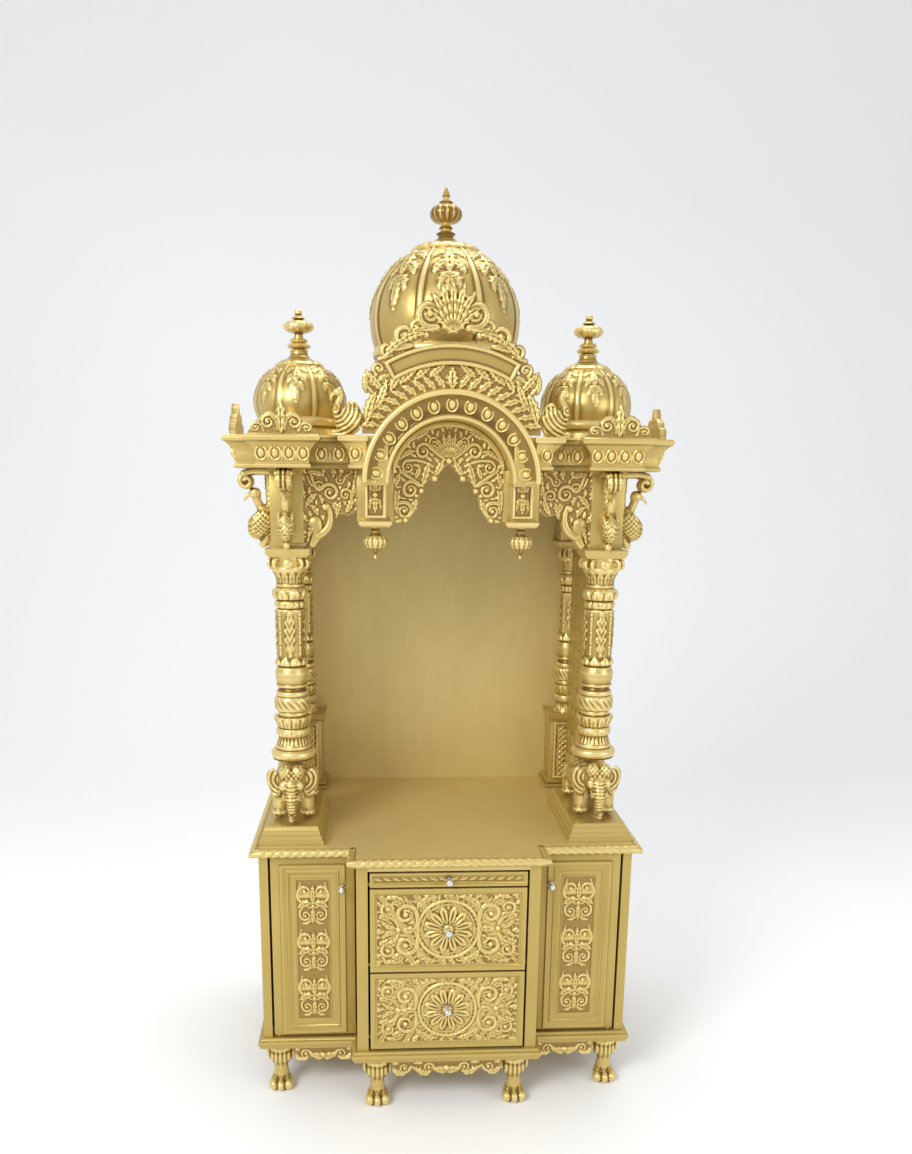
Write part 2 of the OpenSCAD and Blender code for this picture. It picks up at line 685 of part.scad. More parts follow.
// A door with a half-round hinge edge, pivot bores and a raised frame moulding.
module door() {
  difference() {
    union() {
      translate([hinge_x, hinge_y, door_z0]) cylinder(h = door_z1 - door_z0, r = door_t / 2);
      box([door_r, door_y, door_z0], [hinge_x, door_y + door_t, door_z1]);
      difference() {
        box([door_r + door_edge, door_y - door_mould, door_z0 + 10],
            [door_l - door_edge, door_y + e, door_z1 - 14]);
        box([door_r + door_edge + mould_w, door_y - door_mould - 1, door_z0 + 10 + mould_w],
            [door_l - door_edge - mould_w, door_y - 1, door_z1 - 14 - mould_w]);
      }
    }
    for (z = [door_z0 - 1, door_z1 - 13])
      translate([hinge_x, hinge_y, z]) cylinder(h = 14, r = pin_r + pin_gap);
  }
}
module left_door() { color(gold) mirror([1, 0, 0]) door(); }
module right_door() { color(gold) door(); }

// A ball knob on a short stem, its foot at the given point.
module knob(p) {
  translate(p) rotate([90, 0, 0]) {
    cylinder(h = 3, r = 8);
    cylinder(h = knob_off, r = 4);
    translate([0, 0, knob_off]) sphere(r = knob_r);
  }
}
door_knob_x = door_r + door_edge / 2 + 16;
door_knob_z = 578;
module left_door_knob() { color(chrome) knob([-door_knob_x, door_y - door_mould, door_knob_z]); }
module right_door_knob() { color(chrome) knob([door_knob_x, door_y - door_mould, door_knob_z]); }

// A drawer: its front and the open box behind it.
module drawer(z0, z1, bz, h) {
  y0 = front_y + front_t;
  box([-draw_half, front_y, z0], [draw_half, y0, z1]);
  difference() {
    box([-box_half, y0 - e, bz], [box_half, y0 + box_d, bz + h]);
    box([-box_half + box_t, y0 + 1, bz + box_t], [box_half - box_t, y0 + box_d - box_t, bz + h + 1]);
  }
}
module top_drawer() { color(gold) drawer(d1_z0, d1_z1, box1_z, drawer_top_h - 6); }
module middle_drawer() { color(gold) drawer(d2_z0, d2_z1, box2_z, drawer_mid_h - 50); }
module bottom_drawer() { color(gold) drawer(d3_z0, d3_z1, box3_z, d3_z1 - d3_z0 - 60); }
module top_drawer_knob() { color(chrome) knob([0, front_y, (d1_z0 + d1_z1) / 2]); }
module middle_drawer_knob() { color(chrome) knob([0, front_y, (d2_z0 + d2_z1) / 2]); }
module bottom_drawer_knob() { color(chrome) knob([0, front_y, (d3_z0 + d3_z1) / 2 + 6]); }

paw_feet_front();
paw_feet_centre();
paw_feet_back();
base_moulding();
aprons();
cupboard_floor();
cupboard_left_side();
cupboard_right_side();
cupboard_back();
left_divider();
right_divider();
drawer_runners();
table_top();
rope_edge();
left_plinth();
right_plinth();
left_elephant();
right_elephant();
left_pillar();
right_pillar();
left_capital_block();
right_capital_block();
left_swan_brackets();
right_swan_brackets();
left_back_pillar();
right_back_pillar();
left_lattice();
right_lattice();
shrine_back();
arch_panel();
left_spandrel();
right_spandrel();
pendants();
front_cornice();
side_cornices();
roof_board();
arch_crest();
cornice_swans();
corner_crests();
main_dome();
main_finial();
left_dome();
right_dome();
side_finials();
left_door();
left_door_knob();
right_door();
right_door_knob();
top_drawer();
top_drawer_knob();
middle_drawer();
middle_drawer_knob();
bottom_drawer();
bottom_drawer_knob();
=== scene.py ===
# %% [markdown]
# # A carved home temple
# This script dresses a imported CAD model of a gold-painted home temple: three ribbed domes and an arch on
# pillars, above a cupboard with two doors and three drawers. The CAD gives every size and every moving body.
# Blender adds the carving.

# %% Load the frame
import math
import bpy
import bmesh
import numpy as np
from mathutils import Matrix, Vector


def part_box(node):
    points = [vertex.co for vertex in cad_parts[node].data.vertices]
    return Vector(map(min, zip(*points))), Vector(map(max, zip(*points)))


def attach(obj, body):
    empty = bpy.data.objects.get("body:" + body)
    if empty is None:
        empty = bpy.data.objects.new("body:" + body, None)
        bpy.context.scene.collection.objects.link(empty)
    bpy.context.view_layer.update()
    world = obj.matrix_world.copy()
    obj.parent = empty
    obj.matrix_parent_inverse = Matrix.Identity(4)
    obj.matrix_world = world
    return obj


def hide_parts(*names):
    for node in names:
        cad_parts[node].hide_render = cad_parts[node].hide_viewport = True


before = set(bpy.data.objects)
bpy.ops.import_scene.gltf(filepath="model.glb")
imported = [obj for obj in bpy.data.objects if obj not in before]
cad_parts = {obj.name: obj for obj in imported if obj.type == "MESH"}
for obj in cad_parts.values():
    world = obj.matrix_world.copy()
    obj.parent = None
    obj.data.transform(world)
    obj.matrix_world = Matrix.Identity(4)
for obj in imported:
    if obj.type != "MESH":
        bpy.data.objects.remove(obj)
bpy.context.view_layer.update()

scene = bpy.context.scene

# %% [markdown]
# ## Working in millimetres
# Carvers think in millimetres, so shapes are worked out in them and scaled to metres once, when a piece is
# finished. `span` reads a CAD node's box, so that nothing is placed by eye.

# %% Units and node boxes
MM = 0.001


def span(node):
    """The lowest and highest corners of a CAD node, in millimetres."""
    low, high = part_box(node)
    return np.array(low) * 1000.0, np.array(high) * 1000.0


TABLE = span("table_top")[1][2]
DOOR_Y = span("cupboard_left_side")[0][1]
FRONT_Y = span("left_divider")[0][1]
HALF = span("cupboard_right_side")[1][0]
CENTRE = span("right_divider")[1][0]
BLOCK = span("right_capital_block")
PILLAR_X = (BLOCK[0][0] + BLOCK[1][0]) / 2
PILLAR_Y = (BLOCK[0][1] + BLOCK[1][1]) / 2
CORNICE = span("front_cornice")
CORNICE_Z = span("right_spandrel")[1][2]
ROOF_Z = span("roof_board")[1][2]
WALL_Y = span("shrine_back")[0][1]
PANEL = span("arch_panel")
print("table", TABLE, "pillars", PILLAR_X, PILLAR_Y, "cornice", CORNICE_Z, ROOF_Z)

# %% [markdown]
# ## Shader maths as Python
# Node trees are easier to read as formulas. `Wire` wraps one socket, and its operators add Math nodes.
# `Shade.node` adds any other node: its type, its settings, then the values or links of its sockets.

# %% A wire and a tree
class Wire:
    """One output socket, with + - * and the rest as Math nodes."""

    def __init__(self, tree, socket):
        self.tree, self.socket = tree, socket

    def _math(self, operation, a, b):
        node = self.tree.new("ShaderNodeMath")
        node.operation = operation
        for slot, value in zip(node.inputs, (a, b)):
            put(self.tree, slot, value)
        return Wire(self.tree, node.outputs[0])

    def __add__(self, other):
        return self._math("ADD", self, other)

    def __sub__(self, other):
        return self._math("SUBTRACT", self, other)

    def __mul__(self, other):
        return self._math("MULTIPLY", self, other)

    def __rsub__(self, other):
        return self._math("SUBTRACT", other, self)

    __radd__ = __add__
    __rmul__ = __mul__

    def clamp(self, low=0.0, high=1.0):
        return self._math("MINIMUM", self._math("MAXIMUM", self, low), high)


def put(tree, slot, value):
    """Fills a socket with a number, a colour or another wire."""
    if isinstance(value, Wire):
        tree.links.new(value.socket, slot)
    else:
        slot.default_value = value


class Shade:
    """A material's node tree."""

    def __init__(self, name):
        self.material = bpy.data.materials.new(name)
        self.material.use_nodes = True
        self.tree = self.material.node_tree.nodes
        self.nodes = self.material.node_tree
        self.tree.clear()
        self.links = self.nodes.links

    def new(self, kind):
        return self.tree.new(kind)

    def node(self, kind, settings=None, out=0, **sockets):
        node = self.tree.new(kind)
        for key, value in (settings or {}).items():
            setattr(node, key, value)
        for key, value in sockets.items():
            name = key.replace("_", " ")
            slot = node.inputs[int(key[1:])] if key[0] == "i" and key[1:].isdigit() else node.inputs[name]
            put(self, slot, value)
        return Wire(self, node.outputs[out]) if node.outputs else node

    def mix(self, factor, a, b):
        node = self.tree.new("ShaderNodeMix")
        node.data_type = "RGBA"
        put(self, node.inputs[0], factor)
        put(self, node.inputs[6], a)
        put(self, node.inputs[7], b)
        return Wire(self, node.outputs[2])

    def finish(self, **sockets):
        surface = self.node("ShaderNodeBsdfPrincipled", **sockets)
        self.node("ShaderNodeOutputMaterial", Surface=surface)
        return self.material


# %% [markdown]
# ## Gold paint
# The wood is painted with a bronze-gold lacquer. High edges are painted paler, as a painted highlight, and the
# hollows of the carving are painted a warmer, darker brown, as painted shade. Every carved mesh carries a number
# called `hollow`, worked out from its own shape, and the painted highlight and shade follow it. `ground` marks the
# punched background of a carved panel, which is painted darker as painted shade.

# %% Paint recipes
def rgb(r, g, b):
    return (r, g, b, 1.0)


# `high` is the painted highlight on ridges, and also the pale side of the random mottle and of the brush strokes;
# `deep` is the painted shade in hollows.
def gold_paint(name, body, high, deep, metal, rough, carved=True, brushed=0.0):
    s = Shade(name)
    where = s.node("ShaderNodeTexCoord", out=3)
    cloud = s.node("ShaderNodeTexNoise", Vector=where, Scale=5.0, Detail=4.0, Roughness=0.6)
    grain = s.node("ShaderNodeTexNoise", Vector=where, Scale=240.0, Detail=3.0, Roughness=0.6)
    colour = s.mix((cloud - 0.3).clamp() * 1.1, body, tuple(0.5 * (a + b) for a, b in zip(body, high)))
    lift = (grain - 0.5) * 0.8
    if carved:
        hollow = s.node("ShaderNodeAttribute", {"attribute_name": "hollow"}, out=2)
        ground = s.node("ShaderNodeAttribute", {"attribute_name": "ground"}, out=2)
        # Painted highlight: ridges, where `hollow` is negative, are painted toward the pale colour.
        colour = s.mix((hollow * -1.5 + (grain - 0.5) * 0.5).clamp(), colour, high)
        # Painted shade: hollows are painted toward the dark colour.
        colour = s.mix((hollow * 1.25 + (grain - 0.5) * 0.4).clamp(0.0, 0.86), colour, deep)
        punched = s.node("ShaderNodeTexVoronoi", Vector=where, Scale=330.0)
        # Painted shade: the uncarved background between the carving is painted darker.
        colour = s.mix((ground * 0.8).clamp(), colour, GROUND_SHADE)
        lift = lift + (punched * ground) * 3.0
    if brushed:
        stretched = s.node("ShaderNodeMapping", Vector=where, Scale=(3.0, 3.0, 0.7))
        strokes = s.node("ShaderNodeTexNoise", Vector=stretched, Scale=9.0, Detail=6.0, Roughness=0.7)
        colour = s.mix(((strokes - 0.45) * 3.0).clamp() * brushed, colour, high)
        lift = lift + strokes * 0.8
    bump = s.node("ShaderNodeBump", Strength=0.25, Distance=0.0012, Height=lift)
    roughness = (cloud * 0.16 + grain * 0.10 + (rough - 0.12)).clamp()
    return s.finish(Base_Color=colour, Metallic=metal, Roughness=roughness, Normal=bump)


# The dark brown of the painted shade on the uncarved background of a carving.
GROUND_SHADE = rgb(0.31, 0.19, 0.055)
# Each paint: body colour, pale colour (painted highlight, mottle and strokes), dark colour (painted shade), metallic,
# roughness.
GOLD = gold_paint("carved_gold", rgb(0.46, 0.32, 0.08), rgb(0.78, 0.61, 0.24), rgb(0.15, 0.075, 0.014), 0.62, 0.34)
AMBER = gold_paint("amber_gold", rgb(0.47, 0.33, 0.085), rgb(0.80, 0.63, 0.26), rgb(0.17, 0.08, 0.012), 0.6, 0.30)
BOARD = gold_paint("board_gold", rgb(0.66, 0.51, 0.20), rgb(0.80, 0.66, 0.30), rgb(0.25, 0.15, 0.04), 0.35, 0.42,
                   carved=False, brushed=0.35)
MOULD = gold_paint("moulding_gold", rgb(0.47, 0.34, 0.09), rgb(0.70, 0.54, 0.20), rgb(0.20, 0.11, 0.02), 0.55, 0.34)


def chrome_metal():
    s = Shade("bright_chrome")
    where = s.node("ShaderNodeTexCoord", out=3)
    smudge = s.node("ShaderNodeTexNoise", Vector=where, Scale=60.0, Detail=3.0)
    return s.finish(Base_Color=s.mix(smudge, rgb(0.70, 0.70, 0.72), rgb(0.82, 0.82, 0.84)), Metallic=1.0,
                    Roughness=(smudge * 0.12 + 0.06).clamp())


CHROME = chrome_metal()

# %% [markdown]
# ## Finishing a mesh
# A bmesh in millimetres becomes an object in metres. `read_hollows` compares each point with the average of
# its neighbourhood: a point that lies below it is in a hollow, and one above it is on a ridge.

# %% From bmesh to piece
made = []


def read_hollows(mesh, reach=7, depth=1.3):
    count = len(mesh.vertices)
    at = np.empty(count * 3)
    mesh.vertices.foreach_get("co", at)
    at = at.reshape(-1, 3)
    normal = np.empty(count * 3)
    mesh.vertices.foreach_get("normal", normal)
    normal = normal.reshape(-1, 3)
    ends = np.empty(len(mesh.edges) * 2, dtype=np.int64)
    mesh.edges.foreach_get("vertices", ends)
    a, b = ends.reshape(-1, 2).T
    links = np.bincount(a, minlength=count) + np.bincount(b, minlength=count)
    soft = at.copy()
    for _ in range(reach):
        total = np.empty_like(soft)
        for k in range(3):
            total[:, k] = np.bincount(a, soft[b, k], count) + np.bincount(b, soft[a, k], count)
        soft = 0.3 * soft + 0.7 * total / np.maximum(links, 1)[:, None]
    below = np.einsum("ij,ij->i", normal, soft - at) / (depth * MM)
    size = np.linalg.norm(at[a] - at[b], axis=1)
    mean = (np.bincount(a, size, count) + np.bincount(b, size, count)) / np.maximum(links, 1)
    below *= np.clip(5.0 * MM / np.maximum(mean, 1e-6), 0.0, 1.0) ** 2
    # The paint darkens hollows by this number as painted shade, and lightens ridges as painted highlight.
    hollow = mesh.attributes.new("hollow", "FLOAT", "POINT")
    hollow.data.foreach_set("value", np.clip(below, -1.0, 1.0).astype(np.float32))


def piece(name, bm, material, body="root", replaces=(), sharp=40, hollows=True):
    """Scales a bmesh to metres and makes it a finished object that rides on a body."""
    bmesh.ops.scale(bm, vec=(MM, MM, MM), verts=bm.verts)
    mesh = bpy.data.meshes.new(name)
    bm.to_mesh(mesh)
    bm.free()
    mesh.shade_smooth()
    mesh.set_sharp_from_angle(angle=math.radians(sharp))
    mesh.materials.append(material)
    if hollows:
        read_hollows(mesh)
    obj = bpy.data.objects.new(name, mesh)
    scene.collection.objects.link(obj)
    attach(obj, body)
    if replaces:
        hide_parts(*replaces)
    made.append((name, sum(len(p.vertices) - 2 for p in mesh.polygons)))
    return obj


def twin(obj, name, body="root", replaces=()):
    """The mirror image of a piece on the other side of the middle."""
    bm = bmesh.new()
    bm.from_mesh(obj.data)
    bmesh.ops.scale(bm, vec=(-1, 1, 1), verts=bm.verts)
    bmesh.ops.reverse_faces(bm, faces=bm.faces)
    bmesh.ops.scale(bm, vec=(1000, 1000, 1000), verts=bm.verts)
    return piece(name, bm, obj.data.materials[0], body, replaces, hollows="hollow" not in obj.data.attributes)


# %% [markdown]
# ## Sheets, sweeps and turnings
# Three ways to make a surface cover the whole temple. A *sheet* is a grid whose points are moved to places
# worked out by a formula. A *sweep* carries a profile along a path, with mitred corners. A *turning* spins a
# profile round an axis, as a lathe does, and its skin can then be pushed in and out to carve petals.

# %% Sheet
def sheet(points, wrap_u=False, wrap_v=False, flip=False):
    nu, nv = points.shape[:2]
    bm = bmesh.new()
    bmesh.ops.create_grid(bm, x_segments=nu - 1, y_segments=nv - 1, size=0.5)
    for v in bm.verts:
        v.co = points[round((v.co.x + 0.5) * (nu - 1)), round((v.co.y + 0.5) * (nv - 1))]
    if wrap_u or wrap_v:
        bmesh.ops.remove_doubles(bm, verts=bm.verts, dist=0.02)
    if flip:
        bmesh.ops.reverse_faces(bm, faces=bm.faces)
    return bm


def close_ends(bm):
    rims = [e for e in bm.edges if e.is_boundary]
    if rims:
        bmesh.ops.holes_fill(bm, edges=rims, sides=0)
    bmesh.ops.recalc_face_normals(bm, faces=bm.faces)
    return bm


def join(target, source):
    """Adds one bmesh to another."""
    mesh = bpy.data.meshes.new("part")
    source.to_mesh(mesh)
    source.free()
    target.from_mesh(mesh)
    bpy.data.meshes.remove(mesh)
    return target


# %% Sweep
def resample(points, step):
    """Points along a line at about an even step, keeping every corner."""
    points = np.asarray(points, float)
    out = [points[0]]
    for a, b in zip(points[:-1], points[1:]):
        n = max(1, int(round(np.linalg.norm(b - a) / step)))
        out += [a + (b - a) * k / n for k in range(1, n + 1)]
    return np.array(out)


def sweep(path, profile, closed=False, up=(0, 0, 1), left=False, relief=None, step=None):
    """Carries a closed profile of (out, up) points along a flat path. `out` is to the right of the way
    walked, or to the left. relief(along, around) pushes the skin out."""
    path = np.asarray(path, float)
    up = np.asarray(up, float)
    n = len(path)
    if closed:
        path = np.vstack([path, path[:1]])
        n += 1
    ways = np.diff(path, axis=0)
    lengths = np.linalg.norm(ways, axis=1)
    ways /= lengths[:, None]
    sides = np.cross(ways, up) * (-1 if left else 1)
    stations, outs, along = [], [], []
    travelled = np.concatenate([[0], np.cumsum(lengths)])
    for k in range(n):
        before = sides[k - 1] if k > 0 else (sides[-1] if closed else sides[0])
        after = sides[k] if k < n - 1 else (sides[0] if closed else sides[-1])
        mitre = (before + after) / (1.0 + float(np.dot(before, after)))
        stations.append(path[k])
        outs.append(mitre)
        along.append(travelled[k])
        if step and k < n - 1:
            m = int(lengths[k] // step)
            for j in range(1, m + 1):
                f = j / (m + 1)
                stations.append(path[k] + (path[k + 1] - path[k]) * f)
                outs.append(sides[k])
                along.append(travelled[k] + lengths[k] * f)
    stations, outs, along = map(np.array, (stations, outs, along))
    profile = np.asarray(profile, float)
    ring = np.vstack([profile, profile[:1]])
    tangent = np.roll(profile, -1, 0) - np.roll(profile, 1, 0)
    tangent = np.vstack([tangent, tangent[:1]])
    normal = np.stack([tangent[:, 1], -tangent[:, 0]], 1)
    normal /= np.linalg.norm(normal, axis=1)[:, None] + 1e-9
    push = relief(along[:, None], ring[None, :, :]) if relief else np.zeros((len(along), len(ring)))
    o = ring[None, :, 0] + normal[None, :, 0] * push
    h = ring[None, :, 1] + normal[None, :, 1] * push
    points = stations[:, None, :] + outs[:, None, :] * o[..., None] + up * h[..., None]
    bm = sheet(points, wrap_u=closed, wrap_v=True)
    return close_ends(bm)


# %% Turning
def turning(profile, steps=64, x=0.0, y=0.0, carve=None, step=None):
    """Spins (radius, height) points round an upright axis. carve(angle, radius, height) pushes the skin."""
    profile = resample(profile, step) if step else np.asarray(profile, float)
    bm = bmesh.new()
    line = [bm.verts.new((r, 0.0, z)) for r, z in profile]
    edges = [bm.edges.new(pair) for pair in zip(line[:-1], line[1:])]
    bmesh.ops.spin(bm, geom=line + edges, cent=(0, 0, 0), axis=(0, 0, 1), angle=2 * math.pi, steps=steps,
                   use_merge=True, use_duplicate=False)
    bmesh.ops.remove_doubles(bm, verts=bm.verts, dist=0.01)
    if carve:
        at = np.array([v.co[:] for v in bm.verts])
        radius = np.hypot(at[:, 0], at[:, 1])
        angle = np.arctan2(at[:, 1], at[:, 0])
        push = carve(angle, radius, at[:, 2])
        scale = 1.0 + push / np.maximum(radius, 1.0)
        at[:, :2] *= scale[:, None]
        for v, p in zip(bm.verts, at):
            v.co = p
    close_ends(bm)
    bmesh.ops.translate(bm, vec=(x, y, 0), verts=bm.verts)
    return bm


# %% [markdown]
# ## Carving in relief
# A carved panel is a height map: a grid of points, each raised by the strokes laid over it. A stroke is a
# rounded bar along a curve, a bead is half a ball, and a leaf has a vein and lobes along its edge. The same
# strokes can also give the outline of a board that is sawn to shape, by their distance from each grid point.

# %% Curves for the carver
def bend(*p, n=14):
    """A Bezier curve through its first and last point, pulled by those between."""
    p = np.asarray(p, float)
    t = np.linspace(0, 1, n)[:, None]
    while len(p) > 1:
        if p.ndim == 2:
            p = np.stack([np.repeat(q[None], n, 0) for q in p])
        p = np.stack([a + (b - a) * t for a, b in zip(p[:-1], p[1:])])
    return p[0]


def spiral(x, z, r, turns=1.3, start=90.0, hand=1, inner=0.30, n=26):
    f = np.linspace(0, 1, n)
    a = math.radians(start) + hand * 2 * math.pi * turns * f
    rr = r * (1 - (1 - inner) * f ** 0.85)
    return np.stack([x + rr * np.cos(a), z + rr * np.sin(a)], 1)


# %% The relief
class Relief:
    def __init__(self, x0, x1, z0, z1, cell=2.2):
        self.cell = cell
        self.gx = np.linspace(x0, x1, max(2, round((x1 - x0) / cell) + 1))
        self.gz = np.linspace(z0, z1, max(2, round((z1 - z0) / cell) + 1))
        self.x, self.z = np.meshgrid(self.gx, self.gz, indexing="ij")
        self.h = np.zeros_like(self.x)
        self.d = np.full_like(self.x, 99.0)

    def near(self, pts, reach):
        pts = np.asarray(pts)
        i = np.searchsorted(self.gx, [pts[:, 0].min() - reach, pts[:, 0].max() + reach])
        j = np.searchsorted(self.gz, [pts[:, 1].min() - reach, pts[:, 1].max() + reach])
        return slice(i[0], i[1] + 1), slice(j[0], j[1] + 1)

    def stroke(self, pts, w0, w1=None, high=0.8, groove=0.0, rim=None, base=0.0):
        w1 = w0 if w1 is None else w1
        pts = np.asarray(pts, float)
        s = np.concatenate([[0], np.cumsum(np.linalg.norm(np.diff(pts, axis=0), axis=1))])
        s /= s[-1]
        for a, b, sa, sb in zip(pts[:-1], pts[1:], s[:-1], s[1:]):
            ra, rb = w0 + (w1 - w0) * sa, w0 + (w1 - w0) * sb
            win = self.near([a, b], max(ra, rb) + (rim or 0) + 3 * self.cell)
            x, z = self.x[win], self.z[win]
            way = b - a
            t = np.clip(((x - a[0]) * way[0] + (z - a[1]) * way[1]) / max(way @ way, 1e-9), 0, 1)
            d = np.hypot(x - a[0] - t * way[0], z - a[1] - t * way[1])
            r = ra + (rb - ra) * t
            q = d / r
            dome = np.sqrt(np.clip(1 - q * q, 0, 1))
            if groove:
                dome = dome * (1 - groove * np.exp(-(q / 0.3) ** 2))
            self.h[win] = np.maximum(self.h[win], np.where(q < 1, base + high * r * dome, 0))
            if rim is not None:
                self.d[win] = np.minimum(self.d[win], d - r - rim)
        return self

    def bead(self, x, z, r, high=0.9, rim=None):
        win = self.near([(x, z)], r + (rim or 0) + 3 * self.cell)
        d = np.hypot(self.x[win] - x, self.z[win] - z)
        self.h[win] = np.maximum(self.h[win], high * np.sqrt(np.clip(r * r - d * d, 0, None)))
        if rim is not None:
            self.d[win] = np.minimum(self.d[win], d - r - rim)
        return self

    def leaf(self, pts, width, high=0.45, lobes=5, rim=None, tip=0.75):
        pts = np.asarray(pts, float)
        s = np.concatenate([[0], np.cumsum(np.linalg.norm(np.diff(pts, axis=0), axis=1))])
        s /= s[-1]
        win = self.near(pts, width + (rim or 0) + 3 * self.cell)
        x, z = self.x[win], self.z[win]
        best, where = np.full_like(x, 1e9), np.zeros_like(x)
        for a, b, sa, sb in zip(pts[:-1], pts[1:], s[:-1], s[1:]):
            way = b - a
            t = np.clip(((x - a[0]) * way[0] + (z - a[1]) * way[1]) / max(way @ way, 1e-9), 0, 1)
            d = np.hypot(x - a[0] - t * way[0], z - a[1] - t * way[1])
            closer = d < best
            best = np.where(closer, d, best)
            where = np.where(closer, sa + (sb - sa) * t, where)
        shape = np.sin(np.pi * np.clip(where, 0.03, 0.985) ** tip) ** 0.75
        w = width * shape * (0.84 + 0.16 * np.cos(2 * np.pi * lobes * where)) + 0.01
        q = best / w
        rib = 0.86 + 0.14 * np.cos(2 * np.pi * (lobes * where - 0.75 * q))
        rise = np.sqrt(np.clip(1 - q * q, 0, 1)) * rib * (1 - 0.4 * np.exp(-(best / (0.16 * width)) ** 2))
        self.h[win] = np.maximum(self.h[win], high * width * rise)
        if rim is not None:
            self.d[win] = np.minimum(self.d[win], (best - w) * 0.9 - rim)
        return self

    def scroll(self, x, z, r, start=90, hand=1, turns=1.3, w=0.24, tail=None, rim=None, high=0.85):
        """A rolled scroll with a ball in its eye and, if asked, a tail curve that leads into it."""
        pts = spiral(x, z, r, turns, start, hand)
        self.stroke(pts, r * w, r * w * 0.55, high=high, groove=0.35, rim=rim)
        self.bead(x, z, r * 0.27, high=1.2, rim=rim)
        if tail is not None:
            end = pts[0]
            way = pts[0] - pts[1]
            lead = end + way / (np.linalg.norm(way) + 1e-9) * np.linalg.norm(np.array(tail) - end) * 0.5
            self.stroke(bend(tail, lead, end), r * w * 0.7, r * w, high=high, groove=0.35, rim=rim)
        return self

    def frame(self, x0, x1, z0, z1, w, high):
        """A raised border just inside a rectangle."""
        edge = np.minimum(np.minimum(self.x - x0, x1 - self.x), np.minimum(self.z - z0, z1 - self.z))
        q = np.abs(edge - w) / w
        self.h = np.maximum(self.h, high * np.sqrt(np.clip(1 - q * q, 0, 1)))
        return self

    def both(self):
        """Makes the left half the mirror image of the right half, and the other way round."""
        self.h = np.maximum(self.h, self.h[::-1])
        self.d = np.minimum(self.d, self.d[::-1])
        return self

    def solid(self, inside):
        """The outline is also wherever this distance is negative."""
        self.d = np.minimum(self.d, inside)
        return self

    def without(self, inside):
        """The outline leaves out wherever this distance is negative."""
        self.d = np.maximum(self.d, -inside)
        return self

    def whole(self):
        self.d[:] = -40.0
        return self

    def fill(self, centre, least=6.0, most=17.0, count=60):
        """Lays curled leaves in the bare places, the largest first, each turned away from a centre."""
        step = max(1, round(3.2 / self.cell))
        x, z = self.x[::step, ::step], self.z[::step, ::step]
        carved = self.h > 0.3
        marks = np.stack([self.x[carved], self.z[carved]], 1)[::3]
        room = np.minimum(-self.d[::step, ::step], most * 2)
        for k in range(0, len(marks), 64):
            part = marks[k:k + 64]
            room = np.minimum(room, np.hypot(x[..., None] - part[:, 0], z[..., None] - part[:, 1]).min(-1))
        for k in range(count):
            i, j = np.unravel_index(np.argmax(room), room.shape)
            r = min(room[i, j], most)
            if r < least:
                break
            at = np.array([x[i, j], z[i, j]])
            out = at - np.array(centre, float)
            out /= np.linalg.norm(out) + 1e-6
            side = np.array([-out[1], out[0]]) * (1 if k % 2 else -1)
            pts = bend(at - out * r * 0.95 - side * r * 0.2, at - side * r * 0.35, at + out * r * 0.7 + side * r * 0.1,
                       at + out * r * 0.75 + side * r * 0.6)
            self.leaf(pts, r * 0.52, high=0.62, lobes=3)
            for p in pts[::3]:
                room = np.minimum(room, np.hypot(x - p[0], z - p[1]) - r * 0.45)
        return self

    def board(self, place, thick, base=1.2):
        """Makes the sawn and carved board. place(x, z, h) gives points in the room."""
        x, z, h = self.x.copy(), self.z.copy(), self.h
        carved = h > 0.25
        edge = (self.d > 0) & (self.d < 1.2 * self.cell)
        sx, sz = np.gradient(self.d, self.gx, self.gz)
        size = np.hypot(sx, sz) + 1e-6
        x = np.where(edge, x - sx / size * self.d / size.clip(0.6, 1.6), x)
        z = np.where(edge, z - sz / size * self.d / size.clip(0.6, 1.6), z)
        rolled = np.clip(-self.d / 2.5, 0, 1) ** 0.5
        lift = np.where(carved, h + base, 0.0) * np.where(self.d > -2.5, rolled, 1.0)
        points = place(x, z, lift)
        keep = self.d < 1.2 * self.cell
        nu, nv = x.shape
        bm = bmesh.new()
        bmesh.ops.create_grid(bm, x_segments=nu - 1, y_segments=nv - 1, size=0.5)
        flat = bm.verts.layers.float.new("ground")
        gone = []
        for v in bm.verts:
            i, j = round((v.co.x + 0.5) * (nu - 1)), round((v.co.y + 0.5) * (nv - 1))
            v.co = points[i, j]
            # `ground` is 1 on the uncarved background, which the paint darkens as painted shade and punches.
            v[flat] = 0.0 if carved[i, j] else 1.0
            if not keep[i, j]:
                gone.append(v)
        if gone:
            bmesh.ops.delete(bm, geom=gone, context="VERTS")
            loose = [v for v in bm.verts if not v.link_faces]
            bmesh.ops.delete(bm, geom=loose, context="VERTS")
        centre = place(x[nu // 2, nv // 2], z[nu // 2, nv // 2], 0.0)
        away = place(x[nu // 2, nv // 2], z[nu // 2, nv // 2], 1.0) - centre
        facing = sum((f.normal.dot(Vector(away)) for f in list(bm.faces)[:200]), 0.0)
        if facing < 0:
            bmesh.ops.reverse_faces(bm, faces=bm.faces)
        rims = [e for e in bm.edges if e.is_boundary]
        back = bmesh.ops.extrude_edge_only(bm, edges=rims)
        moved = [g for g in back["geom"] if isinstance(g, bmesh.types.BMVert)]
        bmesh.ops.translate(bm, vec=Vector(-away * thick), verts=moved)
        for v in moved:
            v[flat] = 0.0
        ring = [g for g in back["geom"] if isinstance(g, bmesh.types.BMEdge)]
        bmesh.ops.triangle_fill(bm, edges=ring, use_beauty=False, use_dissolve=False)
        bmesh.ops.recalc_face_normals(bm, faces=bm.faces)
        return bm


def facing_front(y):
    return lambda x, z, h: np.stack(np.broadcast_arrays(x, y - h, z), -1)


def facing_side(x0, sign=1):
    return lambda y, z, h: np.stack(np.broadcast_arrays(x0 + sign * h, y, z), -1)


# %% [markdown]
# ## Grown shapes
# Paws, elephants and swans have no flat faces. We lay balls and rows of balls, let a voxel remesh fuse them
# into one skin, and relax the skin. Feathers and folds are then pushed into it.

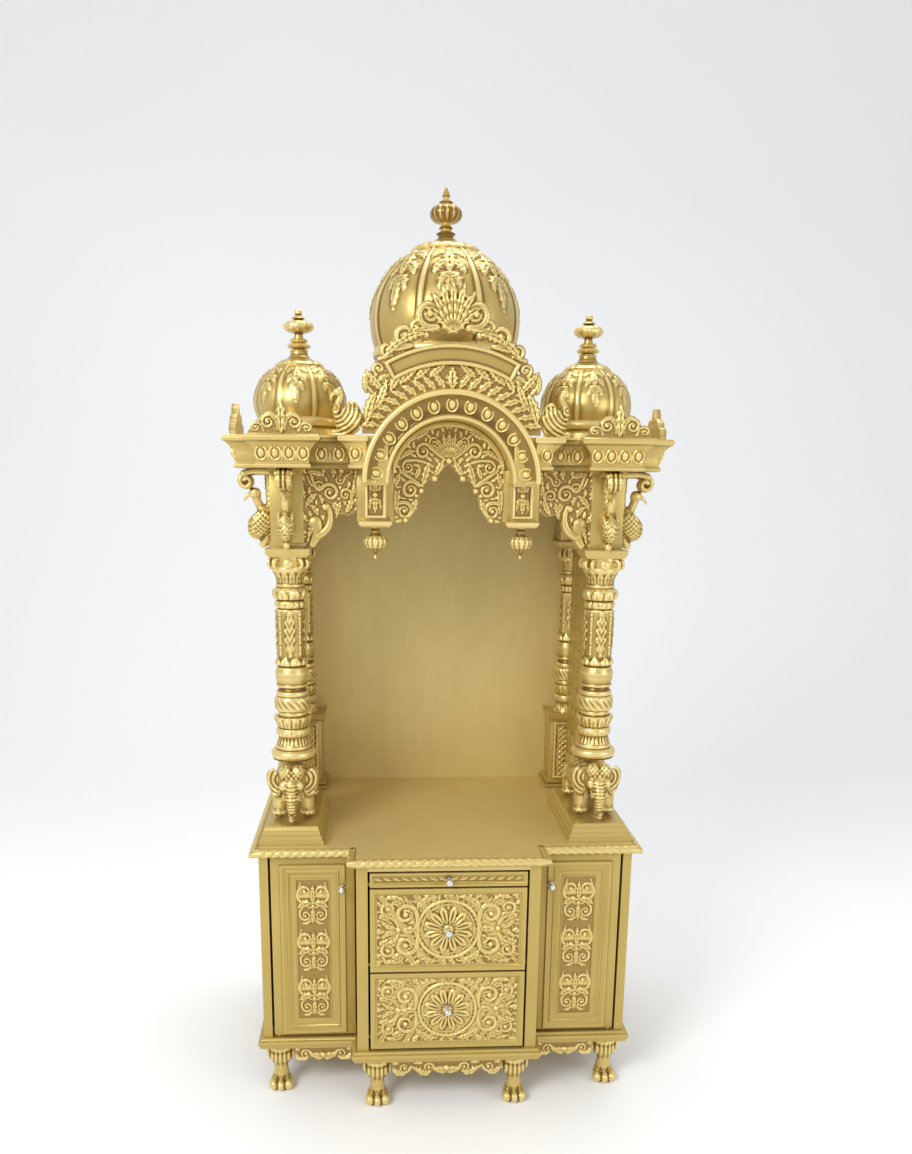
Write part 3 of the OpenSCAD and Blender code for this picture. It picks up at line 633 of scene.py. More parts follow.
# %% Balls, limbs and the fused skin
def ball(bm, at, size, turn=(0, 0, 0)):
    size = (size,) * 3 if np.isscalar(size) else size
    spin = Matrix.Rotation(math.radians(turn[2]), 4, "Z") @ Matrix.Rotation(math.radians(turn[1]), 4, "Y") \
        @ Matrix.Rotation(math.radians(turn[0]), 4, "X")
    place = Matrix.Translation(Vector(at)) @ spin @ Matrix.Diagonal((*size, 1.0))
    bmesh.ops.create_uvsphere(bm, u_segments=18, v_segments=10, radius=1.0, matrix=place)


def limb(bm, points, r0, r1, n=12):
    for k, p in enumerate(bend(*points, n=n)):
        ball(bm, p, r0 + (r1 - r0) * k / (n - 1))


def fuse(bm, voxel, relax=3):
    mesh = bpy.data.meshes.new("clay")
    bm.to_mesh(mesh)
    bm.free()
    clay = bpy.data.objects.new("clay", mesh)
    scene.collection.objects.link(clay)
    remesh = clay.modifiers.new("fuse", "REMESH")
    remesh.mode, remesh.voxel_size, remesh.adaptivity = "VOXEL", voxel, 0.0
    soft = clay.modifiers.new("relax", "SMOOTH")
    soft.factor, soft.iterations = 0.5, relax
    skin = bpy.data.meshes.new_from_object(clay.evaluated_get(bpy.context.evaluated_depsgraph_get()))
    out = bmesh.new()
    out.from_mesh(skin)
    bpy.data.objects.remove(clay)
    bpy.data.meshes.remove(mesh)
    bpy.data.meshes.remove(skin)
    return out


def push_skin(bm, rule):
    bm.normal_update()
    at = np.array([v.co[:] for v in bm.verts])
    normal = np.array([v.normal[:] for v in bm.verts])
    moved = at + normal * rule(at[:, 0], at[:, 1], at[:, 2])[:, None]
    for v, p in zip(bm.verts, moved):
        v.co = p
    return bm


def shift(bm, x=0.0, y=0.0, z=0.0, turn=0.0, size=1.0):
    """A copy of a bmesh, scaled, turned about the upright axis and moved."""
    new = bm.copy()
    bmesh.ops.scale(new, vec=(size,) * 3, verts=new.verts)
    bmesh.ops.rotate(new, cent=(0, 0, 0), matrix=Matrix.Rotation(math.radians(turn), 3, "Z"), verts=new.verts)
    bmesh.ops.translate(new, vec=(x, y, z), verts=new.verts)
    return new


def fit(bm, low, high):
    """Stretches a bmesh so that its box is the box given."""
    at = np.array([v.co[:] for v in bm.verts])
    at = low + (at - at.min(0)) / (at.max(0) - at.min(0)) * (np.array(high) - low)
    for v, p in zip(bm.verts, at):
        v.co = p
    return bm


def block(low, high, round_by=1.2):
    """A box with its edges eased, as a planed board has."""
    low, high = np.array(low, float), np.array(high, float)
    bm = bmesh.new()
    bmesh.ops.create_cube(bm, size=1.0)
    bmesh.ops.scale(bm, vec=tuple(high - low), verts=bm.verts)
    bmesh.ops.translate(bm, vec=tuple((high + low) / 2), verts=bm.verts)
    bmesh.ops.bevel(bm, geom=bm.edges[:], offset=round_by, affect="EDGES", segments=2, profile=0.5, material=-1)
    return bm


# %% [markdown]
# ## Boards from the CAD
# Flat boards already have their true shape in the CAD, so they only get their paint.

# %% Paint the boards
for name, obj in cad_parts.items():
    chrome = name.endswith("_knob")
    board = name in ("table_top", "shrine_back", "cupboard_floor", "cupboard_back", "roof_board")
    obj.data.materials.clear()
    obj.data.materials.append(CHROME if chrome else BOARD if board else MOULD)

# %% [markdown]
# ## Base moulding, rope edge and plinths
# Mouldings are sweeps. The base moulding and the rope edge both follow the stepped front. The rope is a round
# bar whose skin rises and falls in three strands, and its twist turns the other way past the middle.

# %% Base moulding
BACK_Y = span("cupboard_left_side")[1][1]
base_low, base_high = span("base_moulding")
stepped = [(-HALF, DOOR_Y), (-CENTRE, DOOR_Y), (-CENTRE, FRONT_Y), (CENTRE, FRONT_Y), (CENTRE, DOOR_Y),
           (HALF, DOOR_Y), (HALF, BACK_Y), (-HALF, BACK_Y)]
z0, z1 = base_low[2], base_high[2]
ogee = [(-3, z0 - 0.3), (9, z0 - 0.3), (10, z0 + 5), (12, z0 + 9), (14, z0 + 12), (14.6, z0 + 16), (13.6, z0 + 20.5),
        (10, z0 + 22), (7.5, z0 + 24), (6.5, z1 + 0.2), (-3, z1 + 0.2)]
open_back = [stepped[-1]] + stepped[:-1]
piece("base_ogee", sweep([(x, y, 0) for x, y in open_back], ogee), MOULD)

# %% Rope edge
rope_low, rope_high = span("rope_edge")
ROPE_R = (rope_high[2] - rope_low[2]) / 2
half_length = (BACK_Y - DOOR_Y) + (HALF - CENTRE) + (DOOR_Y - FRONT_Y) + CENTRE
ring = [(ROPE_R + ROPE_R * math.cos(a), ROPE_R * math.sin(a)) for a in np.linspace(0, 2 * np.pi, 20, endpoint=False)]


def strands(along, around):
    angle = np.arctan2(around[..., 1], around[..., 0] - ROPE_R)
    phase = (3 * angle + 2 * np.pi * np.abs(along - half_length) / 22.0) / 2
    return 2.2 * np.abs(np.sin(phase)) ** 0.7 - 1.8


path = [(x, y, TABLE - ROPE_R) for x, y in open_back + [(-HALF, BACK_Y)][:0]]
piece("rope_twist", sweep(path, ring, relief=strands, step=3.0), MOULD, replaces=("rope_edge",), sharp=75)

# %% Plinths
p_low, p_high = span("right_plinth")
zp = p_high[2]
rect = [(p_low[0], p_low[1]), (p_high[0], p_low[1]), (p_high[0], p_high[1]), (p_low[0], p_high[1])]
steps = [(-40, TABLE + 0.2), (0.6, TABLE + 0.2), (0.6, TABLE + 9), (-1, TABLE + 11), (-4, TABLE + 13.5), (-4.4, TABLE + 21),
         (-6, TABLE + 22.6), (-9, TABLE + 24.5), (-9.4, TABLE + 33), (-11, TABLE + 34), (-14, zp - 2), (-15, zp + 0.6), (-50, zp + 0.6)]
plinth = piece("right_plinth_mould", sweep([(x, y, 0) for x, y in rect], steps, closed=True), MOULD)
twin(plinth, "left_plinth_mould")

# %% [markdown]
# ## Paw feet and aprons
# Each foot is a lion's paw: three toes, a pad, a slim ankle and a leafy knee under the moulding.

# %% Paw
def paw(top):
    bm = bmesh.new()
    for k in (-1, 0, 1):
        ball(bm, (k * 20, -17 - 5 * (k == 0), 15), (12, 17, 14.5), (8, 0, k * -9))
        ball(bm, (k * 17, -4, 24), (10, 17, 11), (25, 0, 0))
    ball(bm, (0, 4, 18), (27, 22, 17.5))
    limb(bm, ((0, 4, 28), (0, -4, 50), (0, -6, 78)), 22, 17, 8)
    ball(bm, (0, -6, 92), (28, 23, 24))
    for s in (-1, 1):
        limb(bm, ((s * 12, -4, 74), (s * 30, -4, 84), (s * 33, 2, 112), (s * 24, 8, 112)), 8, 10, 9)
    ball(bm, (0, 2, 116), (33, 32, 15))
    bm = fuse(bm, 3.1, 2)

    def marks(x, y, z):
        toe = -2.4 * np.exp(-((np.abs(x) - 10) / 2.2) ** 2) * (z < 40) * (y < 0)
        vein = 1.8 * np.cos(x * 0.55) * np.exp(-((z - 92) / 20) ** 2) * (y < 10)
        return toe + vein

    push_skin(bm, marks)
    low = min(v.co.z for v in bm.verts)
    tall = max(v.co.z for v in bm.verts)
    for v in bm.verts:
        v.co.z = (v.co.z - low) * top / (tall - low)
    return bm


foot = paw(z0)
for group, sides in (("paw_feet_front", 0), ("paw_feet_centre", 0), ("paw_feet_back", 0)):
    low, high = span(group)
    x = high[0] - 41.5 + (2 if group != "paw_feet_centre" else 0)
    bm = bmesh.new()
    for s in (-1, 1):
        join(bm, shift(foot, s * (x - 3), (low[1] + high[1]) / 2 + 3, 0, turn=0))
    piece(group + "_carved", bm, GOLD, replaces=(group,), sharp=80)

# %% Aprons
def apron(x0, x1, zt, zb):
    mid, half = (x0 + x1) / 2, (x1 - x0) / 2
    r = Relief(x0, x1, zb, zt, 2.4)
    r.solid(zt - 17 - r.z)
    r.bead(mid, zt - 26, 7, rim=2)
    for s in (-1, 1):
        for k in range(3):
            r.leaf(bend((mid + s * 6, zt - 24), (mid + s * (10 + 8 * k), zt - 34 - 5 * (2 - k)),
                        (mid + s * (12 + 13 * k), zb + 6 + 9 * k)), 9, rim=2.2)
        n = max(1, int(half // 62))
        for k in range(n):
            cx = mid + s * (46 + 62 * k)
            hand = s * (1 if k % 2 else -1)
            r.scroll(cx, zt - 24, 14, start=90 + 90 * s, hand=hand, rim=3, tail=(cx - s * 30, zt - 30))
            r.leaf(bend((cx - s * 4, zt - 34), (cx + s * 14, zt - 48), (cx + s * 32, zt - 22)), 10, lobes=4, rim=2.4)
            r.leaf(bend((cx + s * 16, zt - 12), (cx + s * 26, zt - 6), (cx + s * 38, zt - 12)), 7, lobes=3, rim=2)
    r.solid(zt - 26 - 8 * np.cos((r.x - mid) / half * np.pi * 2) - r.z)
    return r


a_low, a_high = span("aprons")
c_foot = span("paw_feet_centre")[1][0] - 41.5
inner = c_foot - 42
r = apron(-inner, inner, z0, a_low[2]).both()
bm = r.board(facing_front(FRONT_Y + 3), 18)
for s in (-1, 1):
    x0, x1 = sorted((s * (CENTRE + 20), s * (span("paw_feet_front")[1][0] - 84)))
    join(bm, apron(x0, x1, z0, a_low[2] + 6).board(facing_front(DOOR_Y + 3), 18))
    y0, y1 = span("paw_feet_front")[1][1] + 2, span("paw_feet_back")[0][1] - 2
    join(bm, apron(y0, y1, z0, a_low[2] + 6).board(facing_side(s * (HALF - 3), s), 18))
piece("carved_aprons", bm, GOLD, replaces=("aprons",), sharp=60)
foot.free()

# %% [markdown]
# ## Doors
# A door is a board with a raised frame moulding round a tall carved strip. In the strip, a motif of two
# scrolls like an open heart is repeated three times.

# %% Door
def door_strip(x0, x1, zb, zt, motifs=3):
    mid, pitch = (x0 + x1) / 2, (zt - zb) / motifs
    r = Relief(x0, x1, zb, zt, 1.9).whole()
    for k in range(motifs):
        c = zb + pitch * (k + 0.5)
        r.bead(mid, c - pitch * 0.06, 5.5)
        for s in (-1, 1):
            r.scroll(mid + s * 20, c + pitch * 0.23, 17, start=90 - 90 * s, hand=s, tail=(mid + s * 3, c - pitch * 0.10))
            r.scroll(mid + s * 19, c - pitch * 0.26, 14, start=90 - 90 * s, hand=-s, tail=(mid + s * 3, c - 2))
            r.leaf(bend((mid + s * 4, c), (mid + s * 24, c + 2), (mid + s * 38, c - pitch * 0.10)), 11, lobes=4)
            r.leaf(bend((mid + s * 26, c + pitch * 0.12), (mid + s * 36, c + pitch * 0.3), (mid + s * 30, c + pitch * 0.44)), 6, lobes=3)
            r.leaf(bend((mid + s * 3, c - pitch * 0.3), (mid + s * 12, c - pitch * 0.46), (mid + s * 28, c - pitch * 0.43)), 6, lobes=3)
        r.leaf(bend((mid, c), (mid, c + pitch * 0.2), (mid, c + pitch * 0.40)), 9, high=0.6)
        r.leaf(bend((mid, c - pitch * 0.12), (mid, c - pitch * 0.3), (mid, c - pitch * 0.44)), 8, high=0.6)
    return r.both()


def rect_path(x0, x1, zb, zt, y):
    return [(x0, y, zb), (x0, y, zt), (x1, y, zt), (x1, y, zb)]


d_low, d_high = span("right_door")
dx = (d_low[0] + d_high[0]) / 2
bm = block((d_low[0], DOOR_Y, d_low[2]), (d_high[0], d_high[1], d_high[2]), 2.0)
fx, fz0, fz1 = 83, d_low[2] + 7, d_high[2] - 15
frame_profile = [(0, -1), (0, 5), (2.5, 8), (7, 8.6), (10, 7), (12, 5), (16, 4.5), (18.5, 6.6), (22, 6.6), (24, 4),
                 (27, 3), (29, 1.2), (38, 1.2), (39.5, 3.2), (42, 3.2), (43, 1), (43, -1)]
join(bm, sweep(rect_path(dx - fx, dx + fx, fz0, fz1, DOOR_Y), frame_profile, closed=True, up=(0, -1, 0), left=False))
strip = door_strip(dx - fx + 42, dx + fx - 42, fz0 + 42, fz1 - 42)
door_frame = piece("right_door_board", bm, MOULD, "right_door", replaces=("right_door",))
door_panel = piece("right_door_carving", strip.board(facing_front(DOOR_Y - 0.6), 1.0, base=0.8), GOLD, "right_door", sharp=60)
twin(door_frame, "left_door_board", "left_door", replaces=("left_door",))
twin(door_panel, "left_door_carving", "left_door")

# %% [markdown]
# ## Drawers
# A drawer is an open box behind a framed front. The deep fronts have a rosette of twelve petals with scrolled
# foliage at both sides; the slim one has a running band of leaves.

# %% Drawer
def drawer_box(name):
    low, high = span(name)
    y1 = high[1]
    y0 = FRONT_Y + 20
    x = CENTRE - 28 - 12
    tall = {"top_drawer": (2, 4), "middle_drawer": (12, 38), "bottom_drawer": (24, 36)}[name]
    bm = bmesh.new()
    bmesh.ops.create_cube(bm, size=1.0)
    bmesh.ops.scale(bm, vec=(2 * x, y1 - y0 + 1, high[2] - low[2] - sum(tall)), verts=bm.verts)
    bmesh.ops.translate(bm, vec=(0, (y0 + y1 - 1) / 2, (low[2] + tall[0] + high[2] - tall[1]) / 2), verts=bm.verts)
    top = [f for f in bm.faces if f.normal.z > 0.9]
    bmesh.ops.inset_region(bm, faces=top, thickness=10, depth=0)
    lid = bmesh.ops.extrude_face_region(bm, geom=top)
    bmesh.ops.delete(bm, geom=top, context="FACES")
    bmesh.ops.translate(bm, vec=(0, 0, -(high[2] - low[2] - sum(tall) - 10)),
                        verts=[g for g in lid["geom"] if isinstance(g, bmesh.types.BMVert)])
    bmesh.ops.recalc_face_normals(bm, faces=bm.faces)
    return bm


def rosette(r, x, z, size):
    """A ring, twelve petals and a boss."""
    for k in range(12):
        a = 2 * np.pi * (k + 0.5) / 12
        r.leaf([(x + size * f * math.cos(a), z + size * f * math.sin(a)) for f in np.linspace(0.2, 0.82, 9)], size * 0.20,
               high=0.6, lobes=1, tip=0.9)
    for radius, w, high in ((size, 4.2, 1.0), (size * 0.86, 2.4, 0.9), (size * 0.28, 2.6, 1.0)):
        ring = [(x + radius * math.cos(t), z + radius * math.sin(t)) for t in np.linspace(0, 2 * np.pi, 49)]
        r.stroke(ring, w, high=high)
    for k in range(36):
        a = 2 * np.pi * k / 36
        r.bead(x + size * 0.93 * math.cos(a), z + size * 0.93 * math.sin(a), 2.4, high=1.1)
    return r.bead(x, z, size * 0.2, high=0.7)


def drawer_carving(x, zb, zt):
    z, tall = (zb + zt) / 2, zt - zb
    r = Relief(-x, x, zb, zt, 2.15).whole()
    rosette(r, 0, z, min(76, tall * 0.42))
    for s in (1,):
        for v in (-1, 1):
            r.scroll(x * 0.60, z + v * tall * 0.22, tall * 0.15, start=180, hand=-v, tail=(x * 0.47, z))
            r.scroll(x * 0.84, z + v * tall * 0.30, tall * 0.11, start=-90 * v, hand=v, tail=(x * 0.70, z + v * tall * 0.05))
            r.leaf(bend((x * 0.44, z + v * tall * 0.30), (x * 0.36, z + v * tall * 0.46), (x * 0.14, z + v * tall * 0.46)), 10, lobes=5)
            r.leaf(bend((x * 0.62, z + v * tall * 0.38), (x * 0.72, z + v * tall * 0.50), (x * 0.90, z + v * tall * 0.44)), 9, lobes=4)
            r.leaf(bend((x * 0.72, z + v * tall * 0.02), (x * 0.86, z + v * tall * 0.02), (x * 0.95, z + v * tall * 0.15)), 8, lobes=4)
            r.leaf(bend((x * 0.54, z + v * tall * 0.42), (x * 0.48, z + v * tall * 0.30), (x * 0.56, z + v * tall * 0.12)), 6, lobes=3)
            for f, g, h in ((0.50, 0.20, 0.62), (0.66, 0.34, 0.80), (0.86, 0.14, 0.97), (0.30, 0.43, 0.22), (0.74, 0.16, 0.90)):
                r.leaf(bend((x * f, z + v * tall * g), (x * (f + h) / 2, z + v * tall * (g + 0.09)), (x * h, z + v * tall * (g + 0.02))), 11, lobes=4)
        r.bead(x * 0.70, z, 7)
        r.leaf(bend((x * 0.46, z), (x * 0.56, z), (x * 0.66, z)), 11, lobes=3)
    r.h[: len(r.gx) // 2] = 0.0
    r.both().d[: len(r.gx) // 2] = 0.0
    r.fill((0, z)).d[:] = -9.0
    r.h[: len(r.gx) // 2] = 0.0
    return r.both()


def leaf_band(x, zb, zt):
    z, tall = (zb + zt) / 2, zt - zb
    r = Relief(-x, x, zb, zt, 1.7).whole()
    n = 8
    for k in range(n):
        c = x * (k + 0.35) / n
        r.leaf(bend((c - 4, z - tall * 0.3), (c + 8, z - tall * 0.1), (c + x / n * 0.72, z + tall * 0.36)), tall * 0.24, lobes=4, high=0.4)
        r.leaf(bend((c + 2, z + tall * 0.32), (c + 8, z), (c + x / n * 0.6, z - tall * 0.3)), tall * 0.15, lobes=3, high=0.4)
    r.bead(0, z, tall * 0.3)
    return r.both()


for name, maker in (("top_drawer", leaf_band), ("middle_drawer", drawer_carving), ("bottom_drawer", drawer_carving)):
    low, high = span(name)
    edge, wide = (5, 6) if name == "top_drawer" else (9, 12)
    bm = drawer_box(name)
    join(bm, block((low[0], FRONT_Y + 8, low[2]), (high[0], FRONT_Y + 20, high[2]), 1.0))
    profile = [(0, -9), (0, 0), (wide, 0), (wide + 1.5, -2), (wide + 4, -2.6), (wide + 6, -5), (wide + 7, -9)]
    join(bm, sweep(rect_path(low[0], high[0], low[2], high[2], FRONT_Y), profile, closed=True, up=(0, -1, 0)))
    piece(name + "_front", bm, MOULD, name, replaces=(name,))
    inset = wide + 5
    carving = maker(high[0] - inset, low[2] + inset, high[2] - inset)
    piece(name + "_carving", carving.board(facing_front(FRONT_Y + 7.4), 1.0, base=0.6), GOLD, name, sharp=60)

# %% [markdown]
# ## Pillars
# A pillar is one turning. Its carving is a set of waves that repeat round the axis, each between two heights:
# leaf skirts, bands, hanging leaves on the shaft and strings of beads between them.

# %% Pillar
def bell(t, low, high, soft=4.0):
    """One between two values and nought outside, with soft ends."""
    return np.clip((t - low) / soft, 0, 1) * np.clip((high - t) / soft, 0, 1)


def petals(angle, z, low, high, count, depth, point=0.5):
    """Pointed petals standing on `low`, each with a vein."""
    phase = (angle * count / (2 * np.pi)) % 1.0 - 0.5
    t = np.clip((z - low) / (high - low), 0, 1)
    edge = 0.5 * np.clip(1 - (t - point) / (1 - point + 1e-6), 0, 1) ** 0.6
    inside = np.clip((edge - np.abs(phase)) * 9, 0, 1)
    vein = 1 - 0.45 * np.exp(-(phase / 0.07) ** 2)
    return depth * inside * vein * bell(z, low, high, 1.5)


def shaft_carving(angle, radius, z):
    turned = angle + np.pi / 2
    push = petals(turned, z, 957, 990, 12, 3.2, 0.5)
    push += 2.6 * np.abs(np.sin(turned * 8 + z * 0.16)) * bell(z, 1001, 1038)
    push += petals(turned, 1186 - z, 1070, 1118, 10, 3.0, 0.4)
    push += petals(turned, z, 1118, 1140, 8, 4.0, 0.4)
    phase = (turned * 4 / (2 * np.pi) + 0.5) % 1.0 - 0.5
    t = np.clip((z - 1140) / 120.0, 0, 1)
    wide = 0.30 * np.sin(np.pi * np.clip(t, 0.02, 0.98)) ** 0.5 * (0.8 + 0.2 * np.cos(t * 34))
    rib = 0.72 + 0.28 * np.cos(t * 34 - np.abs(phase) * 30)
    push += 4.6 * np.clip((wide - np.abs(phase)) * 14, 0, 1) * rib * bell(z, 1140, 1260)
    string = np.abs(np.abs(phase) - 0.5)
    push += 3.4 * np.clip(1 - (string / 0.07) ** 2, 0, 1) ** 0.5 * np.abs(np.sin(z * np.pi / 9.0)) ** 0.6 * bell(z, 1142, 1260)
    push += 3.2 * np.abs(np.cos(turned * 6)) ** 0.6 * bell(z, 1261, 1281)
    push += petals(turned, z, 1281, 1314, 8, 3.6, 0.3)
    push += petals(turned, z, 1323, 1354, 12, 2.6, 0.5)
    push += 1.5 * np.cos(turned * 24) * bell(z, 912, 936)
    push += petals(turned, 1834 - z, 878, 899, 20, 1.6, 0.5)
    return push


def bump_ring(z0, z1, r, depth=0.5):
    """Points of a rounded ring between two heights, for a turning profile."""
    half = (z1 - z0) / 2
    return [(r - half * depth + half * depth * math.sin(a), (z0 + z1) / 2 - half * math.cos(a))
            for a in np.linspace(0.08, math.pi - 0.08, 7)]


PILLAR = ([(0, 876), (54, 876)] + bump_ring(877, 901, 57.5, 0.8) + bump_ring(901, 912, 45) + [(42, 914), (37, 926), (36, 932)]
          + bump_ring(934, 957, 42) + [(36, 958), (38, 964), (44, 978), (46, 986)] + bump_ring(987, 1000, 37)
          + [(41, 1001), (43, 1010), (43, 1030), (41, 1038)] + bump_ring(1039, 1052, 41) + [(35, 1054), (33, 1062)]
          + bump_ring(1063, 1070, 40) + [(38, 1072), (41, 1085), (42, 1098), (38, 1112), (34, 1116), (38, 1122), (35, 1134),
                                       (34, 1150), (34, 1200), (35, 1258)]
          + bump_ring(1260, 1282, 36) + [(37, 1285), (42, 1296), (41, 1306), (36, 1312)] + bump_ring(1313, 1322, 35)
          + [(31, 1325), (32, 1335), (37, 1346), (43, 1354), (43, 1389), (0, 1389)])


def volutes(bm, half, z0, z1):
    """Four scrolls that stand on the corners under a square slab."""
    for k in range(4):
        a = math.pi / 4 + k * math.pi / 2
        cx, cy = half * 1.18 * math.cos(a), half * 1.18 * math.sin(a)
        for turn in (-1, 1):
            centre = np.array([cx, cy]) + turn * 9 * np.array([-math.sin(a), math.cos(a)])
            pts = [(centre[0] + u * math.cos(a), centre[1] + u * math.sin(a), w)
                   for u, w in spiral(0, (z0 + z1) / 2, (z1 - z0) * 0.42, 1.2, 120, -1, 0.2, 16)]
            for p in pts:
                ball(bm, p, 5.0)
    return bm


def full_pillar(size=1.0):
    bm = turning(PILLAR, 88, carve=shaft_carving, step=3.3)
    join(bm, turning(bump_ring(1354, 1364, 45), 48))
    corner = volutes(bmesh.new(), 40, 1354, 1388)
    for s in (-1, 1):
        for flat in ((0, s), (s, 0)):
            ball(corner, (flat[0] * 44, flat[1] * 44, 1372), (14 if flat[0] == 0 else 8, 14 if flat[1] == 0 else 8, 13))
    join(bm, fuse(corner, 2.6, 1))
    if size != 1.0:
        bmesh.ops.scale(bm, vec=(size, size, 1), verts=bm.verts)
    return bm


def slab(half, z0, z1, rise=(5, 4, 3)):
    """A square slab with a moulded edge."""
    square = [(-half, -half, 0), (half, -half, 0), (half, half, 0), (-half, half, 0)]
    t = (z1 - z0)
    edge = [(-half * 0.9, z0), (-6, z0), (-5, z0 + t * 0.2), (-1, z0 + t * 0.36), (0, z0 + t * 0.5), (-0.6, z0 + t * 0.7),
            (1, z0 + t * 0.8), (1, z1), (-half * 0.9, z1)]
    return sweep(square, edge, closed=True)


pillar = full_pillar()
piece("right_pillar_turned", shift(pillar, PILLAR_X, PILLAR_Y), AMBER, replaces=("right_pillar",), sharp=80)
piece("left_pillar_turned", shift(pillar, -PILLAR_X, PILLAR_Y, turn=90), AMBER, replaces=("left_pillar",), sharp=80)
back_low, back_high = span("right_back_pillar")
BACK_PILLAR_Y = (back_low[1] + back_high[1]) / 2
lean = full_pillar(0.8)
join(lean, block((-50, -50, TABLE + 8), (50, 50, back_low[2] + 212), 2))
for z0, z1, out in ((TABLE, TABLE + 12, 16), (TABLE + 12, TABLE + 22, 11), (TABLE + 205, TABLE + 226, 12)):
    join(lean, slab(50 + out, z0, z1))
join(lean, slab(48, 1388, 1408))
join(lean, block((-40, -40, 1406), (40, 40, CORNICE_Z), 2))
piece("right_back_pillar_turned", shift(lean, PILLAR_X, BACK_PILLAR_Y), AMBER, replaces=("right_back_pillar",), sharp=50)
piece("left_back_pillar_turned", shift(lean, -PILLAR_X, BACK_PILLAR_Y), AMBER, replaces=("left_back_pillar",), sharp=50)
lean.free()
pillar.free()

# %% Pedestal lattice and capital blocks
def diamond_panel(x0, x1, zb, zt, pitch=17):
    r = Relief(x0, x1, zb, zt, 2.4).whole()
    for k in range(-20, 21):
        for hand in (-1, 1):
            a = np.array([x0, (zb + zt) / 2 + k * pitch - hand * (x1 - x0) / 2])
            b = np.array([x1, (zb + zt) / 2 + k * pitch + hand * (x1 - x0) / 2])
            if min(a[1], b[1]) < zt and max(a[1], b[1]) > zb:
                r.stroke([a, b], 2.6, high=0.8)
    return r.frame(x0, x1, zb, zt, 4.5, 5.5)


bm = bmesh.new()
for s in (-1, 1):
    x = s * PILLAR_X
    panel = diamond_panel(x - 42, x + 42, TABLE + 26, TABLE + 200)
    join(bm, panel.board(facing_front(BACK_PILLAR_Y - 50), 1.0))
    side = diamond_panel(BACK_PILLAR_Y - 42, BACK_PILLAR_Y + 42, TABLE + 26, TABLE + 200)
    join(bm, side.board(facing_side(x + s * 50, s), 1.0))
piece("pedestal_lattices", bm, GOLD, sharp=60)

bm = bmesh.new()
join(bm, slab(53, 1388, 1409))
join(bm, block((-40, -40, 1407), (40, 40, CORNICE_Z), 2.0))
for zc in (1412, 1590):
    join(bm, slab(43, zc, zc + 8))
right_block = piece("right_block", shift(bm, PILLAR_X, PILLAR_Y), MOULD, replaces=("right_capital_block",))
twin(right_block, "left_block", replaces=("left_capital_block",))
bm.free()

# %% [markdown]
# ## Elephants
# Each pillar stands on an elephant that faces the room: domed head, fan ears, tusks, a trunk that curls at
# its tip, four legs and a fringed saddle cloth.

# %% Elephant
def elephant():
    bm = bmesh.new()
    ball(bm, (0, 30, 66), (46, 82, 44))
    ball(bm, (0, 40, 88), (40, 60, 40))
    for y in (-44, 96):
        for s in (-1, 1):
            limb(bm, ((s * 29, y, 60), (s * 31, y, 30), (s * 31, y - 2, 9)), 17, 14.5, 9)
            ball(bm, (s * 31, y - 5, 9), (17, 18, 9))
    ball(bm, (0, -66, 92), (31, 30, 33))
    for s in (-1, 1):
        ball(bm, (s * 13, -80, 112), (15, 16, 16))
        ball(bm, (s * 17, -88, 82), (10, 10, 12))
        ball(bm, (s * 40, -62, 86), (20, 7, 31), (0, s * 14, s * 22))
        ball(bm, (s * 36, -64, 66), (13, 6, 18), (0, 0, s * 20))
        limb(bm, ((s * 15, -90, 66), (s * 18, -106, 52), (s * 20, -116, 58)), 5.0, 2.4, 9)
    limb(bm, ((0, -84, 84), (0, -108, 62), (0, -100, 30), (0, -92, 10)), 15, 7, 16)
    limb(bm, ((0, -92, 10), (0, -106, 2), (0, -114, 16)), 7, 5, 8)
    bm = fuse(bm, 2.9, 2)

    def folds(x, y, z):
        trunk = 1.3 * np.cos(z * 0.8) * (np.abs(x) < 14) * (y < -84) * (z < 86)
        ear = 1.6 * np.cos(np.hypot(np.abs(x) - 22, z - 92) * 0.62) * (np.abs(x) > 30) * (y < -40) * (z > 54)
        saddle = 3.2 * bell(y, -20, 92, 3) * (z > 46) * (0.75 + 0.25 * np.cos(y * 0.45) * np.cos(z * 0.45))
        fringe = 2.4 * np.abs(np.cos(y * 0.28)) * bell(z, 40, 52, 3) * bell(y, -22, 94, 3)
        crown = 2.0 * np.cos(x * 0.6) * np.cos(z * 0.5) * (y < -80) * (z > 98) * (np.abs(x) < 22)
        toes = -1.6 * np.exp(-((np.abs(np.abs(x) - 31) - 5) / 1.6) ** 2) * (z < 12)
        return trunk + ear + saddle + fringe + crown + toes

    return push_skin(bm, folds)


e_low, e_high = span("right_elephant")
beast = elephant()
fit(beast, np.array((PILLAR_X - 66, max(e_low[1], p_low[1] + 4), e_low[2])), (PILLAR_X + 66, e_high[1], e_high[2] + 1.5))
right_beast = piece("right_elephant_carved", beast, AMBER, replaces=("right_elephant",), sharp=80)
twin(right_beast, "left_elephant_carved", replaces=("left_elephant",))

# %% [markdown]
# ## Swan brackets
# Every front block carries two brackets, one on its front and one on its outer side: a scroll under the
# cornice, the neck of a swan bending under it, and the round feathered body.

